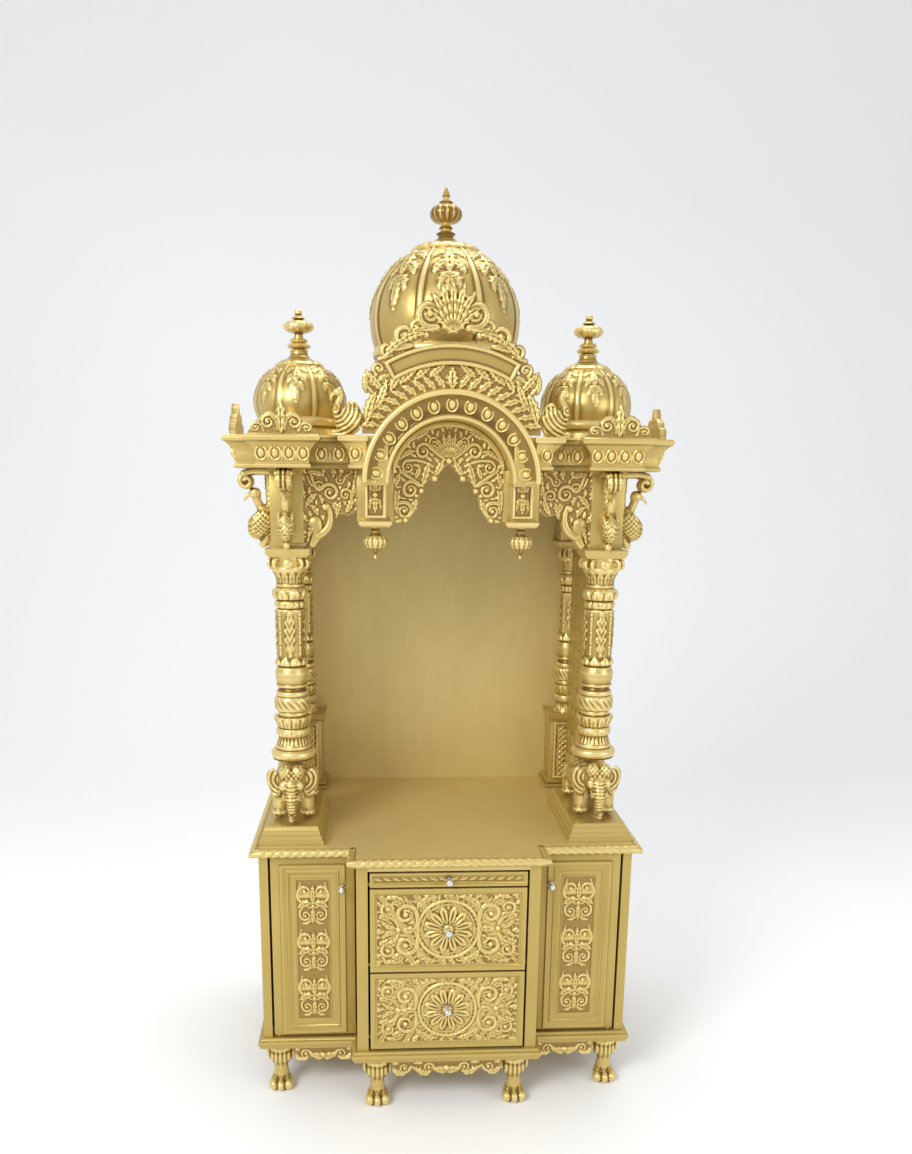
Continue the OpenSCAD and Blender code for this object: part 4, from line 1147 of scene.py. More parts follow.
# %% Swan bracket
def bracket():
    bm = bmesh.new()
    for w in (-13, 0, 13):
        limb(bm, ((4, w, 180), (40, w, 184), (64, w, 176)), 9, 8, 9)
        for x, z in spiral(58, 158, 19, 1.15, 90, -1, 0.3, 16):
            ball(bm, (x, w, z), 6.5)
    limb(bm, ((34, 0, 128), (44, 0, 112), (18, 0, 96), (26, 0, 74)), 10, 11, 12)
    ball(bm, (40, 0, 130), (15, 12, 12), (0, 20, 0))
    limb(bm, ((50, 0, 128), (62, 0, 124), (66, 0, 112)), 6, 3, 6)
    ball(bm, (32, 0, 52), (28, 21, 34), (0, -16, 0))
    ball(bm, (18, 0, 78), (20, 17, 26))
    for s in (-1, 1):
        ball(bm, (26, s * 15, 58), (24, 8, 32), (0, -20, 0))
    limb(bm, ((12, 0, 40), (8, 0, 18), (24, 0, 8)), 15, 9, 8)
    limb(bm, ((2, 0, 176), (4, 0, 100), (3, 0, 12)), 13, 10, 14)
    bm = fuse(bm, 2.9, 1)

    def feathers(x, y, z):
        scale = np.cos(z * 0.52 + np.abs(y) * 0.5) * np.cos(x * 0.5)
        wing = 1.8 * scale * bell(z, 22, 92, 5)
        top = 1.5 * np.cos(y * 0.62) * (z > 138)
        return wing + top

    return push_skin(bm, feathers)


bird = bracket()
bm = shift(bird, PILLAR_X + 39, PILLAR_Y, 1409)
join(bm, shift(bird, PILLAR_X, PILLAR_Y - 39, 1409, turn=-90))
right_birds = piece("right_swan_brackets_carved", bm, GOLD, replaces=("right_swan_brackets",), sharp=80)
twin(right_birds, "left_swan_brackets_carved", replaces=("left_swan_brackets",))
bird.free()

# %% [markdown]
# ## Panels above the opening
# The arch panel and the two spandrels are boards sawn to the outline of their scrolls. The opening between
# them is what the outline leaves out.

# %% Arch panel
def arch_relief():
    x1, z0, z1 = PANEL[1][0], PANEL[0][2], PANEL[1][2]
    r = Relief(-x1, x1, z0 - 2, z1, 1.6)
    mid_z = 1566.0
    r.solid(np.maximum(np.maximum(1566 - r.z, np.hypot(r.x, r.z - mid_z) - 143.7), 0 * r.x - 9))
    r.solid(np.maximum(r.z - 1570, np.abs(r.x) - x1) + 0 * r.x)
    cut = np.array([(0, 1609), (12, 1601), (28, 1590), (30, 1580), (44, 1574), (60, 1562), (66, 1552), (74, 1546), (70, 1532), (77, 1502),
                    (96, 1484), (109, 1474), (109, 1440)])
    edge = np.interp(r.z, cut[::-1, 1], cut[::-1, 0])
    r.without(np.where(r.z < 1609, np.abs(r.x) - edge, r.z - 1609))
    for args in ((62, 1640, 20, 150, -1, (6, 1620)), (98, 1603, 16, 100, -1, (40, 1606)), (92, 1550, 22, 140, -1, (118, 1596)),
                 (107, 1500, 22, 60, 1, (128, 1546)), (36, 1662, 12, -30, 1, (8, 1640))):
        r.scroll(*args[:3], start=args[3], hand=args[4], tail=args[5], rim=2.2)
    for pts, w in ((((14, 1618), (24, 1600), (34, 1582)), 9), (((48, 1612), (56, 1590), (64, 1556)), 10),
                   (((70, 1600), (76, 1590), (80, 1576)), 8), (((84, 1640), (104, 1640), (116, 1622)), 8),
                   (((118, 1588), (128, 1572), (126, 1556)), 8), (((84, 1668), (70, 1680), (48, 1686)), 8),
                   (((120, 1546), (130, 1520), (124, 1492)), 9), (((78, 1526), (86, 1512), (90, 1490)), 8)):
        r.leaf(bend(*pts), w, lobes=4, rim=1.6)
    for x, z, size in ((34, 1577, 8), (66, 1548, 7), (78, 1536, 5), (104, 1478, 7)):
        r.bead(x, z, size, rim=1.4)
    for a in (-58, -36, -14):
        t = math.radians(a)
        r.leaf(bend((2, 1626), (4 - 30 * math.sin(t), 1640 + 20 * math.cos(t)), (-62 * math.sin(t), 1626 + 60 * math.cos(t))), 9, lobes=4)
    r.leaf(bend((0, 1620), (0, 1650), (0, 1692)), 9, lobes=4)
    r.bead(0, 1618, 8)
    r.both()
    r.d[: len(r.gx) // 2] += 40.0
    r.fill((0, 1540))
    r.d[: len(r.gx) // 2] -= 40.0
    r.h[: len(r.gx) // 2] = 0.0
    rim = np.abs(np.hypot(r.x, r.z - mid_z) - 137)
    r.h = np.where((rim < 6) & (r.z > 1566), np.maximum(r.h, 3.4 * np.sqrt(np.clip(1 - (rim / 6) ** 2, 0, 1))), r.h)
    return r.both()


arch_board = arch_relief().board(facing_front(PANEL[0][1] + 2), PANEL[1][1] - PANEL[0][1] - 3)
piece("arch_panel_carved", arch_board, GOLD, replaces=("arch_panel",), sharp=60)

# %% Spandrel
def spandrel_relief():
    low, high = span("right_spandrel")
    r = Relief(low[0], high[0], low[2] - 2, high[2], 1.6)
    line = np.interp(r.x, (221, 240, 262, 290, 318, 331, 349), (1500, 1488, 1492, 1470, 1448, 1410, 1406))
    r.solid(line - r.z)
    for args in ((285, 1542, 22, 30, 1, (330, 1586)), (248, 1538, 15, 200, -1, (226, 1574)), (310, 1556, 13, 20, 1, (338, 1580)),
                 (262, 1572, 11, 180, 1, (236, 1586))):
        r.scroll(*args[:3], start=args[3], hand=args[4], tail=args[5], rim=2.2)
    r.stroke(bend((316, 1440), (284, 1452), (278, 1486), (292, 1512), n=20), 10, 6, high=0.8, rim=2)
    r.bead(297, 1508, 9, rim=2)
    r.stroke(bend((300, 1506), (292, 1500), (289, 1492)), 4, 1.6, high=0.9)
    r.stroke(bend((322, 1470), (312, 1446), (330, 1420)), 17, 8, high=0.55, rim=2)
    for k in range(5):
        r.leaf(bend((308 + 6 * k, 1474 - 2 * k), (322 + 4 * k, 1462 - 8 * k), (342, 1470 - 13 * k)), 6, lobes=4, high=1.5, rim=1)
    for pts, w in ((((232, 1528), (236, 1510), (250, 1492)), 9), (((260, 1520), (268, 1506), (270, 1484)), 8),
                   (((318, 1538), (334, 1530), (344, 1506)), 9), (((300, 1582), (318, 1592), (342, 1588)), 8),
                   (((226, 1560), (228, 1544), (234, 1528)), 7), (((272, 1520), (276, 1512), (274, 1500)), 6)):
        r.leaf(bend(*pts), w, lobes=4, rim=1.6)
    return r.fill((300, 1440))


right_fan = piece("right_spandrel_carved", spandrel_relief().board(facing_front(PANEL[0][1] + 2), 17), GOLD,
                  replaces=("right_spandrel",), sharp=60)
twin(right_fan, "left_spandrel_carved", replaces=("left_spandrel",))

# %% Pendants
p_box = span("pendants")
PENDANT_X = 177.0
bm = block((PENDANT_X - 44, -148, 1475), (PENDANT_X + 44, -128, CORNICE_Z), 1.5)
join(bm, block((PENDANT_X - 28, -170, 1476), (PENDANT_X + 28, -130, CORNICE_Z), 1.5))
r = Relief(PENDANT_X - 26, PENDANT_X + 26, 1482, 1594, 1.6).whole()
r.frame(PENDANT_X - 26, PENDANT_X + 26, 1482, 1594, 4.5, 5)
for v in (-1, 1):
    c = 1538
    r.leaf(bend((PENDANT_X, c + v * 6), (PENDANT_X, c + v * 24), (PENDANT_X, c + v * 44)), 8, lobes=3)
    for s in (-1, 1):
        r.leaf(bend((PENDANT_X + s * 2, c + v * 8), (PENDANT_X + s * 16, c + v * 16), (PENDANT_X + s * 14, c + v * 38)), 6, lobes=3)
r.bead(PENDANT_X, 1538, 7)
join(bm, r.board(facing_front(-170.6), 0.5))
join(bm, sweep([(PENDANT_X - 34, -176, 0), (PENDANT_X + 34, -176, 0), (PENDANT_X + 34, -128, 0), (PENDANT_X - 34, -128, 0)],
               [(-24, 1462), (0, 1462), (3, 1466), (6, 1470), (6, 1475.5), (2, 1478), (-24, 1478)], closed=True))
drop = [(0, 1384), (2.5, 1385), (5, 1389), (4, 1393), (2.6, 1397), (6, 1400), (13, 1405), (23, 1413), (28.5, 1424), (28, 1432), (22, 1440),
        (12, 1443), (12, 1446), (15, 1449), (12, 1453), (9, 1456), (14, 1463), (0, 1463)]
join(bm, turning(drop, 72, PENDANT_X, -153, lambda a, r, z: 2.6 * np.abs(np.cos(a * 6)) * bell(z, 1400, 1444) - 1, step=2.4))
right_drop = piece("right_pendant_carved", bm, AMBER, replaces=("pendants",), sharp=50)
twin(right_drop, "left_pendant_carved")

# %% [markdown]
# ## Cornice
# The cornice is one profile carried round the corners, and over the arch as a half ring. Eggs sit in its
# hollow at an even pitch, each in a collar.

# %% Cornice
C_FRONT, C_BACK = CORNICE[0][1], CORNICE[1][1]
C_BOTTOM = C_FRONT + 23
RISE = ROOF_Z - CORNICE_Z
ARCH_C = np.array([0.0, 1566.0])


def cornice_profile():
    """(out, up) points from the wall to the top roll; out 0 is the lower moulding's face."""
    roll = [(17 + 7 * math.cos(a), RISE - 8 + 8 * math.sin(a)) for a in np.linspace(-math.pi / 2, math.pi / 2, 7)]
    return ([(-24, 0), (-3, 0), (0, 1.5), (1, 5), (0, 9), (-3, 10.5), (-3, 13), (-5, 15), (-6, 22), (-3, 34), (3, 44), (9, 51),
             (12, 54), (14, 56)] + roll + [(-24, RISE)])


def egg(bm, at, out, up, size=1.0):
    """An egg in a collar, set against the hollow of the cornice."""
    out, up = Vector(out).normalized(), Vector(up).normalized()
    lean = (up + out * 0.32).normalized()
    along = up.cross(out).normalized()
    face = along.cross(lean).normalized()
    face = face if face.dot(out) > 0 else -face
    axes = Matrix((along, lean, face)).transposed().to_4x4()
    place = Matrix.Translation(Vector(at)) @ axes
    bmesh.ops.create_uvsphere(bm, u_segments=9, v_segments=6, radius=1.0,
                              matrix=place @ Matrix.Diagonal((8.5 * size, 12 * size, 8 * size, 1)))
    ring = bmesh.new()
    collar = [(12.5 * size * math.sin(a), 16 * size * math.cos(a)) for a in np.linspace(0.5, 2 * math.pi - 0.5, 17)]
    path = [Vector((x, z, 0)) for x, z in collar]
    rings = []
    for k, p in enumerate(path):
        way = (path[min(k + 1, 16)] - path[max(k - 1, 0)]).normalized()
        side = way.cross(Vector((0, 0, 1)))
        rings.append([ring.verts.new(p + side * 3.2 * size * math.cos(t) + Vector((0, 0, 4.4 * size * math.sin(t))))
                      for t in np.linspace(0, 2 * math.pi, 8, endpoint=False)])
    for a, b in zip(rings[:-1], rings[1:]):
        for k in range(8):
            ring.faces.new((a[k], a[(k + 1) % 8], b[(k + 1) % 8], b[k]))
    close_ends(ring)
    bmesh.ops.transform(ring, matrix=place, verts=ring.verts)
    join(bm, ring)


def egg_row(bm, a, b, out, count):
    a, b, out = np.array(a, float), np.array(b, float), np.array(out, float)
    for k in range(count):
        p = a + (b - a) * (k + 0.5) / count
        egg(bm, (*(p[:2] + out * 1.0), CORNICE_Z + 34), (*out, 0), (0, 0, 1))
        if k < count - 1:
            q = a + (b - a) * (k + 1) / count
            ball(bm, (*(q + out * 1.0), CORNICE_Z + 30), (3.2, 3.2, 11))


side_face = span("side_cornices")[1][0] - 23
corner_x0, corner_x1 = PILLAR_X - 64, PILLAR_X + 64
y_front, y_rec = C_BOTTOM, C_BOTTOM + 45
y_side0, y_side1 = PILLAR_Y - 64, PILLAR_Y + 64
right_path = [(238, y_front), (238, y_rec), (corner_x0, y_rec), (corner_x0, y_front), (corner_x1, y_front), (corner_x1, y_side0),
              (CORNICE[1][0] - 23, y_side0), (CORNICE[1][0] - 23, y_side1), (side_face, y_side1), (side_face, 336)]
bm = sweep([(196, y_front, CORNICE_Z)] + [(x, y, CORNICE_Z) for x, y in right_path], cornice_profile())
eggs = bmesh.new()
egg_row(eggs, (206, y_front), (238, y_front), (0, -1), 1)
egg_row(eggs, (240, y_rec), (corner_x0 - 2, y_rec), (0, -1), 2)
egg_row(eggs, (corner_x0, y_front), (corner_x1, y_front), (0, -1), 4)
egg_row(eggs, (CORNICE[1][0] - 23, y_side0), (CORNICE[1][0] - 23, y_side1), (1, 0), 4)
egg_row(eggs, (side_face, y_side1 + 8), (side_face, 330), (1, 0), 11)
join(bm, eggs)
fills = ((PILLAR_X - 60, PILLAR_Y - 60, PILLAR_X + 112, PILLAR_Y + 60), (240, y_rec + 4, 330, PANEL[1][1]),
         (PILLAR_X - 60, y_front + 4, PILLAR_X + 60, PILLAR_Y), (PILLAR_X - 14, PILLAR_Y, side_face - 4, 335), (196, y_front + 4, 234, -130))
for k, (x0, y0, x1, y1) in enumerate(fills):
    join(bm, block((x0, y0, CORNICE_Z + 0.6 + 0.3 * k), (x1, y1, ROOF_Z - 2.0 - 0.3 * k), 0.5))
plates = ((PILLAR_X - 85, C_FRONT + 3, PILLAR_X + 85, PILLAR_Y + 85), (PILLAR_X, PILLAR_Y - 85, CORNICE[1][0] - 3, PILLAR_Y + 85),
          (238, y_rec - 20, 330, PANEL[1][1]), (192, C_FRONT + 3, 259, PANEL[1][1]), (side_face - 20, y_side1, side_face + 20, 335))
for k, (x0, y0, x1, y1) in enumerate(plates):
    join(bm, block((x0, y0, ROOF_Z - 13 - 0.3 * k), (x1, y1, ROOF_Z - 0.4 - 0.25 * k), 0.5))
join(bm, block((PILLAR_X - 14, PILLAR_Y + 44, 1409), (PILLAR_X + 14, BACK_PILLAR_Y - 38, CORNICE_Z + 2), 1.0))
right_cornice = piece("right_cornice_carved", bm, GOLD, replaces=("front_cornice", "side_cornices"), sharp=45)
twin(right_cornice, "left_cornice_carved")

# %% Arched cornice
def arch_ring(steps=64):
    """The cornice profile turned round the arch's centre; its out becomes forward and its up becomes outward."""
    profile = np.array(cornice_profile())
    angles = np.linspace(0, math.pi, steps)
    r = 144.0 + profile[:, 1] * 64.0 / RISE
    pts = np.empty((steps, len(profile) + 1, 3))
    for k, a in enumerate(angles):
        x, z = r * math.cos(a), ARCH_C[1] + r * math.sin(a)
        pts[k, :-1] = np.stack([x, y_front - 0.5 - profile[:, 0], z], 1)
        pts[k, -1] = pts[k, 0]
    return close_ends(sheet(pts, wrap_v=True))


bm = arch_ring()
for s in (-1, 1):
    join(bm, block((min(s * 146, s * 206), y_front + 1, 1560), (max(s * 146, s * 206), -148, ROOF_Z - 1), 1.5))
for k in range(13):
    a = math.pi * (k + 0.5) / 13
    out = (math.cos(a), 0, math.sin(a))
    egg(bm, (176 * out[0], y_front - 1, ARCH_C[1] + 176 * out[2]), (0, -1, 0), out)
tube = [(144, y_front + 20), (208, y_front + 20), (208, C_BACK), (144, C_BACK)]
ring_pts = np.array([[(r * math.cos(a), y, ARCH_C[1] + r * math.sin(a)) for r, y in tube + tube[:1]] for a in np.linspace(0.0, math.pi, 49)])
join(bm, close_ends(sheet(ring_pts, wrap_v=True)))
piece("arched_cornice_carved", bm, GOLD, sharp=45)

# %% [markdown]
# ## Crest
# The crest is one sawn board over the arch: a garland of leaves, a plain curved banner, and a fan of leaves
# between large scrolls at the top. The banner is left bare.

# %% Crest
crest_low, crest_high = span("arch_crest")


def crest_relief():
    r = Relief(-206, 206, crest_low[2] - 2, crest_high[2] + 6, 2.15)
    ring = np.hypot(r.x, r.z - ARCH_C[1])
    for x, z, size, start, hand, tail in ((52, 1936, 30, 250, 1, (86, 1900)), (108, 1890, 24, 250, 1, (134, 1858)),
                                          (26, 1962, 16, 200, -1, (10, 1920)), (148, 1858, 15, 240, 1, (166, 1838)),
                                          (184, 1790, 15, 300, 1, (170, 1756)), (168, 1818, 13, 300, 1, (178, 1800)),
                                          (150, 1790, 14, 30, 1, (130, 1812)), (112, 1812, 13, 30, 1, (88, 1830)),
                                          (72, 1826, 12, 30, 1, (46, 1838)), (30, 1826, 11, 30, 1, (8, 1842)), (80, 1906, 15, 90, -1, (60, 1888))):
        r.scroll(x, z, size, start=start, hand=hand, tail=tail, rim=3.4)
    for a in (0, 20, 40, 62):
        t = math.radians(a)
        r.leaf(bend((6 * math.sin(t), 1900), (36 * math.sin(t), 1930 + 24 * math.cos(t)), (76 * math.sin(t), 1902 + 104 * math.cos(t))),
               14, lobes=5, high=0.55, rim=2.5)
    for pts, w in ((((150, 1846), (130, 1876), (96, 1884)), 11), (((120, 1872), (90, 1898), (60, 1892)), 11),
                   (((196, 1700), (190, 1740), (172, 1770)), 13), (((160, 1770), (176, 1790), (196, 1812)), 10),
                   (((176, 1732), (158, 1756), (150, 1790)), 12), (((140, 1772), (130, 1796), (112, 1806)), 11),
                   (((118, 1786), (100, 1808), (78, 1820)), 11), (((84, 1796), (66, 1814), (48, 1826)), 10),
                   (((50, 1802), (34, 1818), (16, 1828)), 10), (((196, 1770), (200, 1790), (196, 1808)), 7)):
        r.leaf(bend(*pts), w, lobes=5, high=0.6, rim=2.5)
    for k in range(9):
        a = math.pi / 2 - 0.085 - k * 0.105
        r.leaf(bend((212 * math.cos(a), 1566 + 212 * math.sin(a)), (230 * math.cos(a - 0.03), 1566 + 230 * math.sin(a - 0.03)),
                    (246 * math.cos(a - 0.10), 1566 + 246 * math.sin(a - 0.10))), 9, lobes=3, high=0.6)
    r.solid(np.maximum(ring - 256, 1676 - r.z))
    r.solid(np.maximum(ring - 272, np.abs(r.x) - 120))
    r.leaf(bend((0, 1776), (0, 1796), (0, 1824)), 15, lobes=4, high=0.6)
    banner = np.maximum(np.abs(ring - 284.5) - 23.5, np.abs(np.arctan2(r.x, r.z - ARCH_C[1])) * 284 - 153)
    r.both()
    q = np.clip(1 - (np.abs(banner + 5) / 4.6) ** 2, 0, 1)
    r.h = np.where(banner < 0, np.where(q > 0, 3 + 4.5 * np.sqrt(q), 3.0), r.h)
    r.d = np.minimum(r.d, banner)
    r.without(ring - 208.5)
    r.without(r.z - (ROOF_Z + 0.3))
    return r


crest_bm = crest_relief().board(facing_front(crest_low[1] + 8), crest_high[1] - crest_low[1] - 8)
piece("arch_crest_carved", crest_bm, GOLD, replaces=("arch_crest",), sharp=60)

# %% Swans beside the crest
def roof_swan():
    bm = bmesh.new()
    ball(bm, (0, 0, 30), (32, 17, 30))
    ball(bm, (-14, 0, 50), (16, 12, 28), (0, 22, 0))
    for s in (-1, 1):
        ball(bm, (-6, s * 12, 38), (24, 8, 26), (0, 20, 0))
    limb(bm, ((22, 0, 36), (40, 0, 62), (8, 0, 78), (20, 0, 98)), 9, 7, 14)
    ball(bm, (23, 0, 94), (12, 9, 9))
    limb(bm, ((30, 0, 92), (40, 0, 88), (40, 0, 78)), 5, 2.6, 6)
    limb(bm, ((0, 0, 4), (22, 0, 4), (34, 0, 6)), 9, 7, 6)
    bm = fuse(bm, 2.3, 1)
    return push_skin(bm, lambda x, y, z: 1.6 * np.cos(np.hypot(x - 30, z - 60) * 0.62) * (z < 70) * (np.abs(y) > 5))


swan = roof_swan()
s_low, s_high = span("cornice_swans")
right_swan = piece("right_roof_swan", shift(swan, s_high[0] - 33, (s_low[1] + s_high[1]) / 2, ROOF_Z - 0.5), GOLD,
                   replaces=("cornice_swans",), sharp=80)
twin(right_swan, "left_roof_swan")
swan.free()

# %% Corner crests
def small_crest():
    r = Relief(-80, 80, 0, 74, 1.8)
    outline = np.interp(np.abs(r.x), (0, 14, 36, 52, 74, 80), (70, 50, 44, 22, 12, 0))
    r.solid(r.z - outline + 4)
    r.leaf(bend((0, 4), (0, 34), (0, 72)), 13, lobes=4, rim=2)
    r.scroll(30, 26, 15, start=90, hand=-1, tail=(8, 10), rim=2.2)
    r.scroll(58, 14, 10, start=100, hand=-1, tail=(40, 6), rim=2)
    r.leaf(bend((10, 30), (22, 48), (34, 44)), 7, lobes=3, rim=2)
    r.both()
    return r.without(r.z - 0.4)


c_low, c_high = span("corner_crests")
bm = bmesh.new()
for s in (-1, 1):
    front_crest = small_crest().board(facing_front(c_low[1] + 5), 14)
    join(bm, shift(front_crest, s * PILLAR_X, 0, ROOF_Z))
    front_crest.free()
    outer = small_crest().board(facing_side(s * (c_high[0] - 5), s), 14)
    join(bm, shift(outer, 0, PILLAR_Y, ROOF_Z))
    outer.free()
piece("corner_crests_carved", bm, GOLD, replaces=("corner_crests",), sharp=60)

# %% [markdown]
# ## Domes
# A dome is a turning whose skin is pinched at eight ribs. On each of the eight panels hangs an ornament of
# leaves, which is carved into the same skin: the height map of the ornament is wrapped round the dome.

# %% Dome
def dome_ornament(tall, wide):
    r = Relief(-wide, wide, -tall, 0, 2.0)
    r.bead(0, -tall * 0.10, wide * 0.16)
    r.leaf(bend((0, -tall * 0.14), (0, -tall * 0.34), (0, -tall * 0.52)), wide * 0.34, lobes=4)
    for s in (1,):
        r.leaf(bend((2, -tall * 0.16), (wide * 0.5, -tall * 0.08), (wide * 0.72, -tall * 0.26)), wide * 0.24, lobes=4)
        r.leaf(bend((3, -tall * 0.34), (wide * 0.44, -tall * 0.34), (wide * 0.66, -tall * 0.52)), wide * 0.26, lobes=4)
        r.leaf(bend((2, -tall * 0.52), (wide * 0.36, -tall * 0.56), (wide * 0.40, -tall * 0.74)), wide * 0.22, lobes=4)
        r.scroll(wide * 0.40, -tall * 0.20, wide * 0.16, start=0, hand=1)
    r.leaf(bend((0, -tall * 0.54), (0, -tall * 0.74), (0, -tall * 0.97)), wide * 0.24, lobes=5)
    return r.both()


def wrap_dome(curve, ornament, steps, top, tall, wide, lift, x, y):
    """A turning with eight ribs; `ornament` is laid on each panel from `top` (arc length) downwards."""
    profile = resample(curve, 2.2)
    for _ in range(60):
        profile[1:-1] = 0.5 * profile[1:-1] + 0.25 * (profile[:-2] + profile[2:])
    arc_len = np.concatenate([[0], np.cumsum(np.linalg.norm(np.diff(profile, axis=0), axis=1))])
    arc_len = arc_len[-1] - arc_len
    tangent = np.gradient(profile, axis=0)
    normal = np.stack([tangent[:, 1], -tangent[:, 0]], 1)
    normal /= np.linalg.norm(normal, axis=1)[:, None]
    angle = np.linspace(0, 2 * np.pi, steps + 1)
    phase = ((angle + np.pi / 2) * 8 / (2 * np.pi) + 0.5) % 1.0 - 0.5
    radius = profile[:, 0]
    u = phase[None, :] * 2 * np.pi / 8 * radius[:, None]
    v = -(arc_len[:, None] - top) + 0 * phase[None, :]
    i = np.clip(np.round((u + wide) / (2 * wide) * (len(ornament.gx) - 1)).astype(int), 0, len(ornament.gx) - 1)
    j = np.clip(np.round((v + tall) / tall * (len(ornament.gz) - 1)).astype(int), 0, len(ornament.gz) - 1)
    inside = (np.abs(u) < wide) & (v < 0) & (v > -tall)
    push = np.where(inside, ornament.h[i, j], 0) * lift
    to_rib = (0.5 - np.abs(phase[None, :])) * 2 * np.pi / 8 * radius[:, None]
    span_r = np.maximum(radius[:, None] * 0.045, 2.0)
    rib = np.where(to_rib < span_r, 1.0, 0) * span_r * 0.62 * np.sqrt(np.clip(1 - (to_rib / span_r) ** 2, 0, 1))
    push = push + rib + 3.5 * np.cos(phase[None, :] * np.pi) * (radius[:, None] / radius.max()) - 2.0
    r = profile[:, None, 0] + normal[:, None, 0] * push
    z = profile[:, None, 1] + normal[:, None, 1] * push
    pts = np.stack([r * np.cos(angle)[None, :], r * np.sin(angle)[None, :], z + 0 * angle[None, :]], -1)
    bm = close_ends(sheet(pts, wrap_v=True))
    bmesh.ops.translate(bm, vec=(x, y, 0), verts=bm.verts)
    return bm


def cap_carving(count, z0, z1, depth):
    return lambda a, r, z: depth * np.abs(np.cos(a * count / 2)) ** 0.5 * bell(z, z0, z1, 2) - depth * 0.5


D_LOW, D_HIGH = span("main_dome")
DOME_Y = (D_LOW[1] + D_HIGH[1]) / 2
main_curve = [(176, 1893), (183, 1915), (187, 1940), (188, 1962), (185, 1988), (178, 2014), (166, 2040), (150, 2065), (130, 2089),
              (108, 2108), (84, 2124), (64, 2134)]
bm = wrap_dome(main_curve, dome_ornament(190, 58), 256, 34, 190, 58, 0.85, 0, DOME_Y)
base = [(0, 1673), (172, 1673), (172, 1868), (178, 1870), (182, 1876), (183, 1884), (180, 1891), (176, 1894), (178, 1897), (172, 1900), (0, 1900)]
join(bm, turning(base, 96, 0, DOME_Y))
cap = [(0, 2126), (84, 2122), (86, 2127), (80, 2133), (70, 2138), (52, 2143), (34, 2150), (20, 2160), (18, 2167), (0, 2167)]
join(bm, turning(cap, 112, 0, DOME_Y, cap_carving(16, 2116, 2140, 4), step=3))
piece("main_dome_carved", bm, AMBER, replaces=("main_dome",), sharp=60)

S_LOW, S_HIGH = span("right_dome")
SIDE_X = (S_LOW[0] + S_HIGH[0]) / 2
SIDE_Y = (S_LOW[1] + S_HIGH[1]) / 2
small_curve = [(106, 1722), (113, 1735), (117, 1752), (116, 1772), (110, 1794), (99, 1815), (83, 1834), (64, 1849), (48, 1857)]
bm = wrap_dome(small_curve, dome_ornament(112, 36), 176, 22, 112, 36, 0.8, SIDE_X, SIDE_Y)
base = [(0, 1673), (110, 1673), (111, 1680), (107, 1690), (107, 1700), (113, 1704), (115, 1712), (112, 1720), (107, 1722), (105, 1726), (0, 1726)]
join(bm, turning(base, 96, SIDE_X, SIDE_Y))
cap = [(0, 1850), (58, 1848), (60, 1853), (54, 1859), (42, 1864), (30, 1870), (24, 1878), (22, 1888), (0, 1888)]
join(bm, turning(cap, 112, SIDE_X, SIDE_Y, cap_carving(12, 1844, 1866, 3), step=2.5))
right_small = piece("right_dome_carved", bm, AMBER, replaces=("right_dome",), sharp=60)
twin(right_small, "left_dome_carved", replaces=("left_dome",))

# %% Finials
def finial(z0, z1, wide, bulb):
    """The profile of rings, a bulb between `bulb` heights, and a bud; the caller carves the ribs."""
    t = lambda f: z0 + (z1 - z0) * f
    b0, b1 = bulb
    line = [(0, z0), (wide * 0.62, z0), (wide * 0.66, t(0.03)), (wide * 0.5, t(0.06)), (wide * 0.34, t(0.10)), (wide * 0.5, t(0.14)), (wide * 0.4, t(0.18)),
            (wide * 0.3, t(b0 - 0.02))]
    line += [(wide * (0.34 + 0.66 * math.sin(a)), t(b0 + (b1 - b0) * (1 - math.cos(a)) / 2)) for a in np.linspace(0.1, math.pi - 0.1, 14)]
    line += [(wide * 0.3, t(b1 + 0.02)), (wide * 0.5, t(b1 + 0.05)), (wide * 0.34, t(b1 + 0.09)), (wide * 0.22, t(b1 + 0.13)), (wide * 0.3, t(b1 + 0.17)),
             (wide * 0.24, t(b1 + 0.24)), (wide * 0.1, t(0.97)), (0, z1)]
    return line


f_low, f_high = span("main_finial")
wide = (f_high[0] - f_low[0]) / 2
low_z, high_z = f_low[2] + 111 * 0.22, f_low[2] + 111 * 0.62
bm = turning(finial(f_low[2] - 1, f_high[2], wide, (0.24, 0.62)), 96, 0, DOME_Y,
             lambda a, r, z: 3.4 * np.abs(np.cos(a * 7)) ** 0.6 * bell(z, low_z, high_z, 6) - 1.4, step=2)
piece("main_finial_turned", bm, AMBER, replaces=("main_finial",), sharp=70)
f_low, f_high = span("side_finials")
s_z0, s_z1 = f_low[2] + 103 * 0.42, f_low[2] + 103 * 0.72
bm = bmesh.new()
for s in (-1, 1):
    join(bm, turning(finial(f_low[2] - 1, f_high[2], (f_high[0] - SIDE_X), (0.44, 0.72)), 60, s * SIDE_X, SIDE_Y,
                     lambda a, r, z: 2.2 * np.abs(np.cos(a * 6)) * bell(z, s_z0, s_z1, 4) - 1, step=2.4))
    join(bm, turning([(0, f_low[2] + 8), (26, f_low[2] + 8), (30, f_low[2] + 13), (26, f_low[2] + 18), (0, f_low[2] + 19)], 48, s * SIDE_X, SIDE_Y))
    join(bm, turning([(0, f_low[2] + 22), (20, f_low[2] + 22), (23, f_low[2] + 26), (20, f_low[2] + 30), (0, f_low[2] + 31)], 48, s * SIDE_X, SIDE_Y))
piece("side_finials_turned", bm, AMBER, replaces=("side_finials",), sharp=70)

# %% [markdown]
# ## Studio, camera and the last checks
# A pale sweep of paper is the floor and the backdrop. One big soft light stands to the left of the camera, a
# weaker one to the right, and the sky fills the shadows.

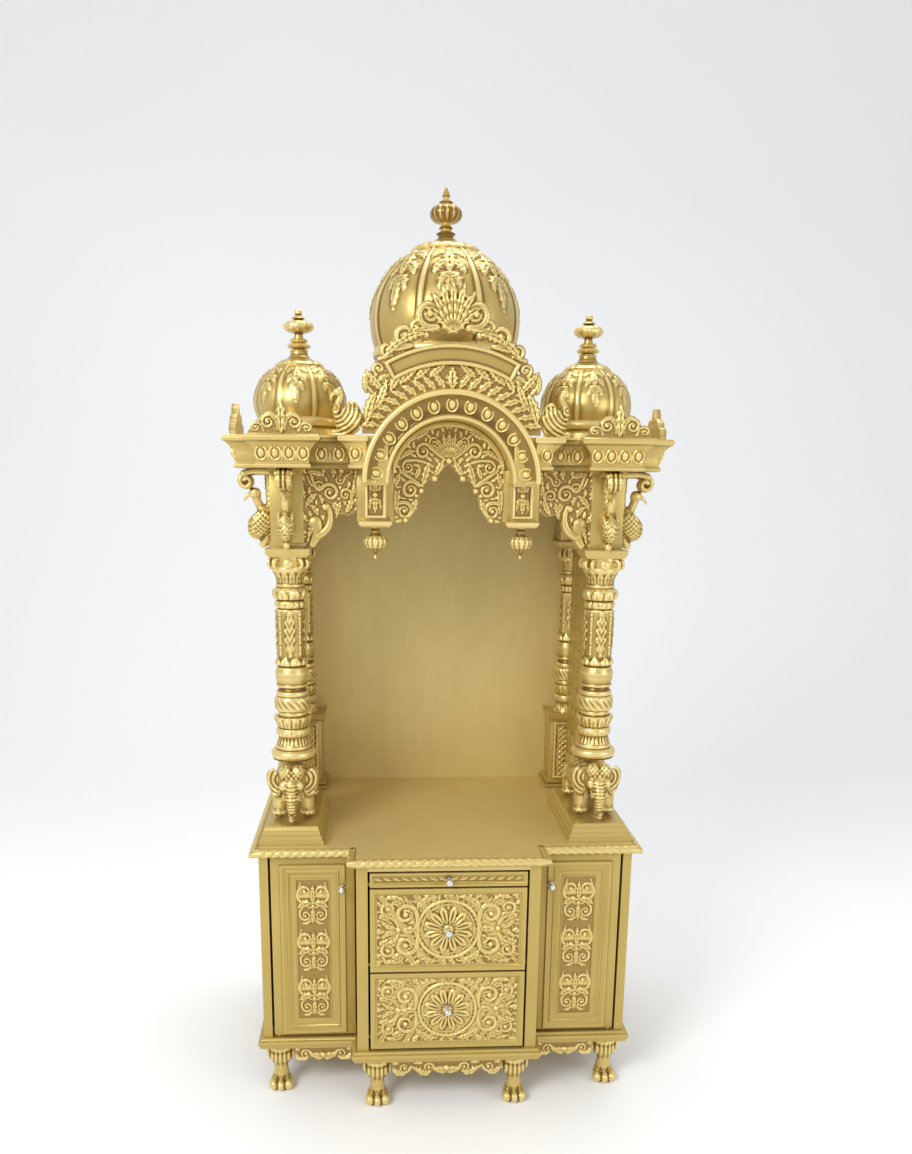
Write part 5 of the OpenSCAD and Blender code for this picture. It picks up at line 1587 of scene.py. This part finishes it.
# %% Floor and backdrop
def studio_paper():
    s = Shade("studio_paper")
    where = s.node("ShaderNodeTexCoord", out=3)
    cloud = s.node("ShaderNodeTexNoise", Vector=where, Scale=0.7, Detail=2.0)
    return s.finish(Base_Color=s.mix(cloud, rgb(0.90, 0.90, 0.90), rgb(0.93, 0.93, 0.93)), Roughness=0.9)


arc = [(2.6 + 2.5 * math.sin(a), 2.5 - 2.5 * math.cos(a)) for a in np.linspace(0, math.pi / 2, 14)]
side_line = [(-7.0, 0.0), (2.0, 0.0)] + arc + [(5.1, 9.0)]
mesh = bpy.data.meshes.new("paper")
points = np.array([[(x, y, z) for y, z in side_line] for x in (-9.0, 0.0, 9.0)])
paper_bm = sheet(points)
paper_bm.to_mesh(mesh)
paper_bm.free()
mesh.shade_smooth()
mesh.materials.append(studio_paper())
paper = bpy.data.objects.new("paper", mesh)
scene.collection.objects.link(paper)

# %% Lights and sky
def soft_light(name, place, aim, size, watts):
    data = bpy.data.lights.new(name, "AREA")
    data.shape, data.size, data.energy = "SQUARE", size, watts
    obj = bpy.data.objects.new(name, data)
    scene.collection.objects.link(obj)
    obj.location = place
    obj.rotation_euler = (Vector(aim) - Vector(place)).to_track_quat("-Z", "Y").to_euler()


soft_light("key", (-2.6, -3.4, 3.6), (0, 0, 1.1), 1.8, 138.0)
soft_light("fill", (3.2, -3.0, 2.0), (0, 0, 1.0), 2.2, 34.0)
soft_light("top", (0.3, 0.6, 4.6), (0, 0, 1.5), 2.0, 50.0)
world = bpy.data.worlds.new("studio")
world.use_nodes = True
world.node_tree.nodes.clear()
sky = world.node_tree.nodes.new("ShaderNodeBackground")
sky.inputs["Color"].default_value = (0.95, 0.97, 1.0, 1.0)
sky.inputs["Strength"].default_value = 0.72
out = world.node_tree.nodes.new("ShaderNodeOutputWorld")
world.node_tree.links.new(sky.outputs[0], out.inputs["Surface"])
scene.world = world

# %% Camera
def turned_camera(place, yaw, pitch, roll):
    """Camera axes from three angles: where it looks, what is right of it and what is above it."""
    ahead = Vector((math.sin(yaw) * math.cos(pitch), math.cos(yaw) * math.cos(pitch), -math.sin(pitch)))
    right = Vector((math.cos(yaw), -math.sin(yaw), 0))
    above = right.cross(ahead)
    right, above = (right * math.cos(roll) + above * math.sin(roll), above * math.cos(roll) - right * math.sin(roll))
    axes = Matrix((right, above, -ahead)).transposed().to_4x4()
    return Matrix.Translation(Vector(place) * MM) @ axes


lens = bpy.data.cameras.new("camera")
lens.sensor_width = 36.0
lens.lens = 30.51
lens.shift_x, lens.shift_y = 0.0188, 0.1133
camera = bpy.data.objects.new("camera", lens)
scene.collection.objects.link(camera)
camera.matrix_world = turned_camera((-168.1, -2558.7, 1563.0), 0.0573, 0.2244, 0.0093)
scene.camera = camera
scene.view_settings.view_transform = "Standard"

# %% Sizes
total = sum(count for _, count in made)
print("pieces:", len(made), "triangles:", total)
for name, count in sorted(made, key=lambda entry: -entry[1])[:12]:
    print("  ", name, count)
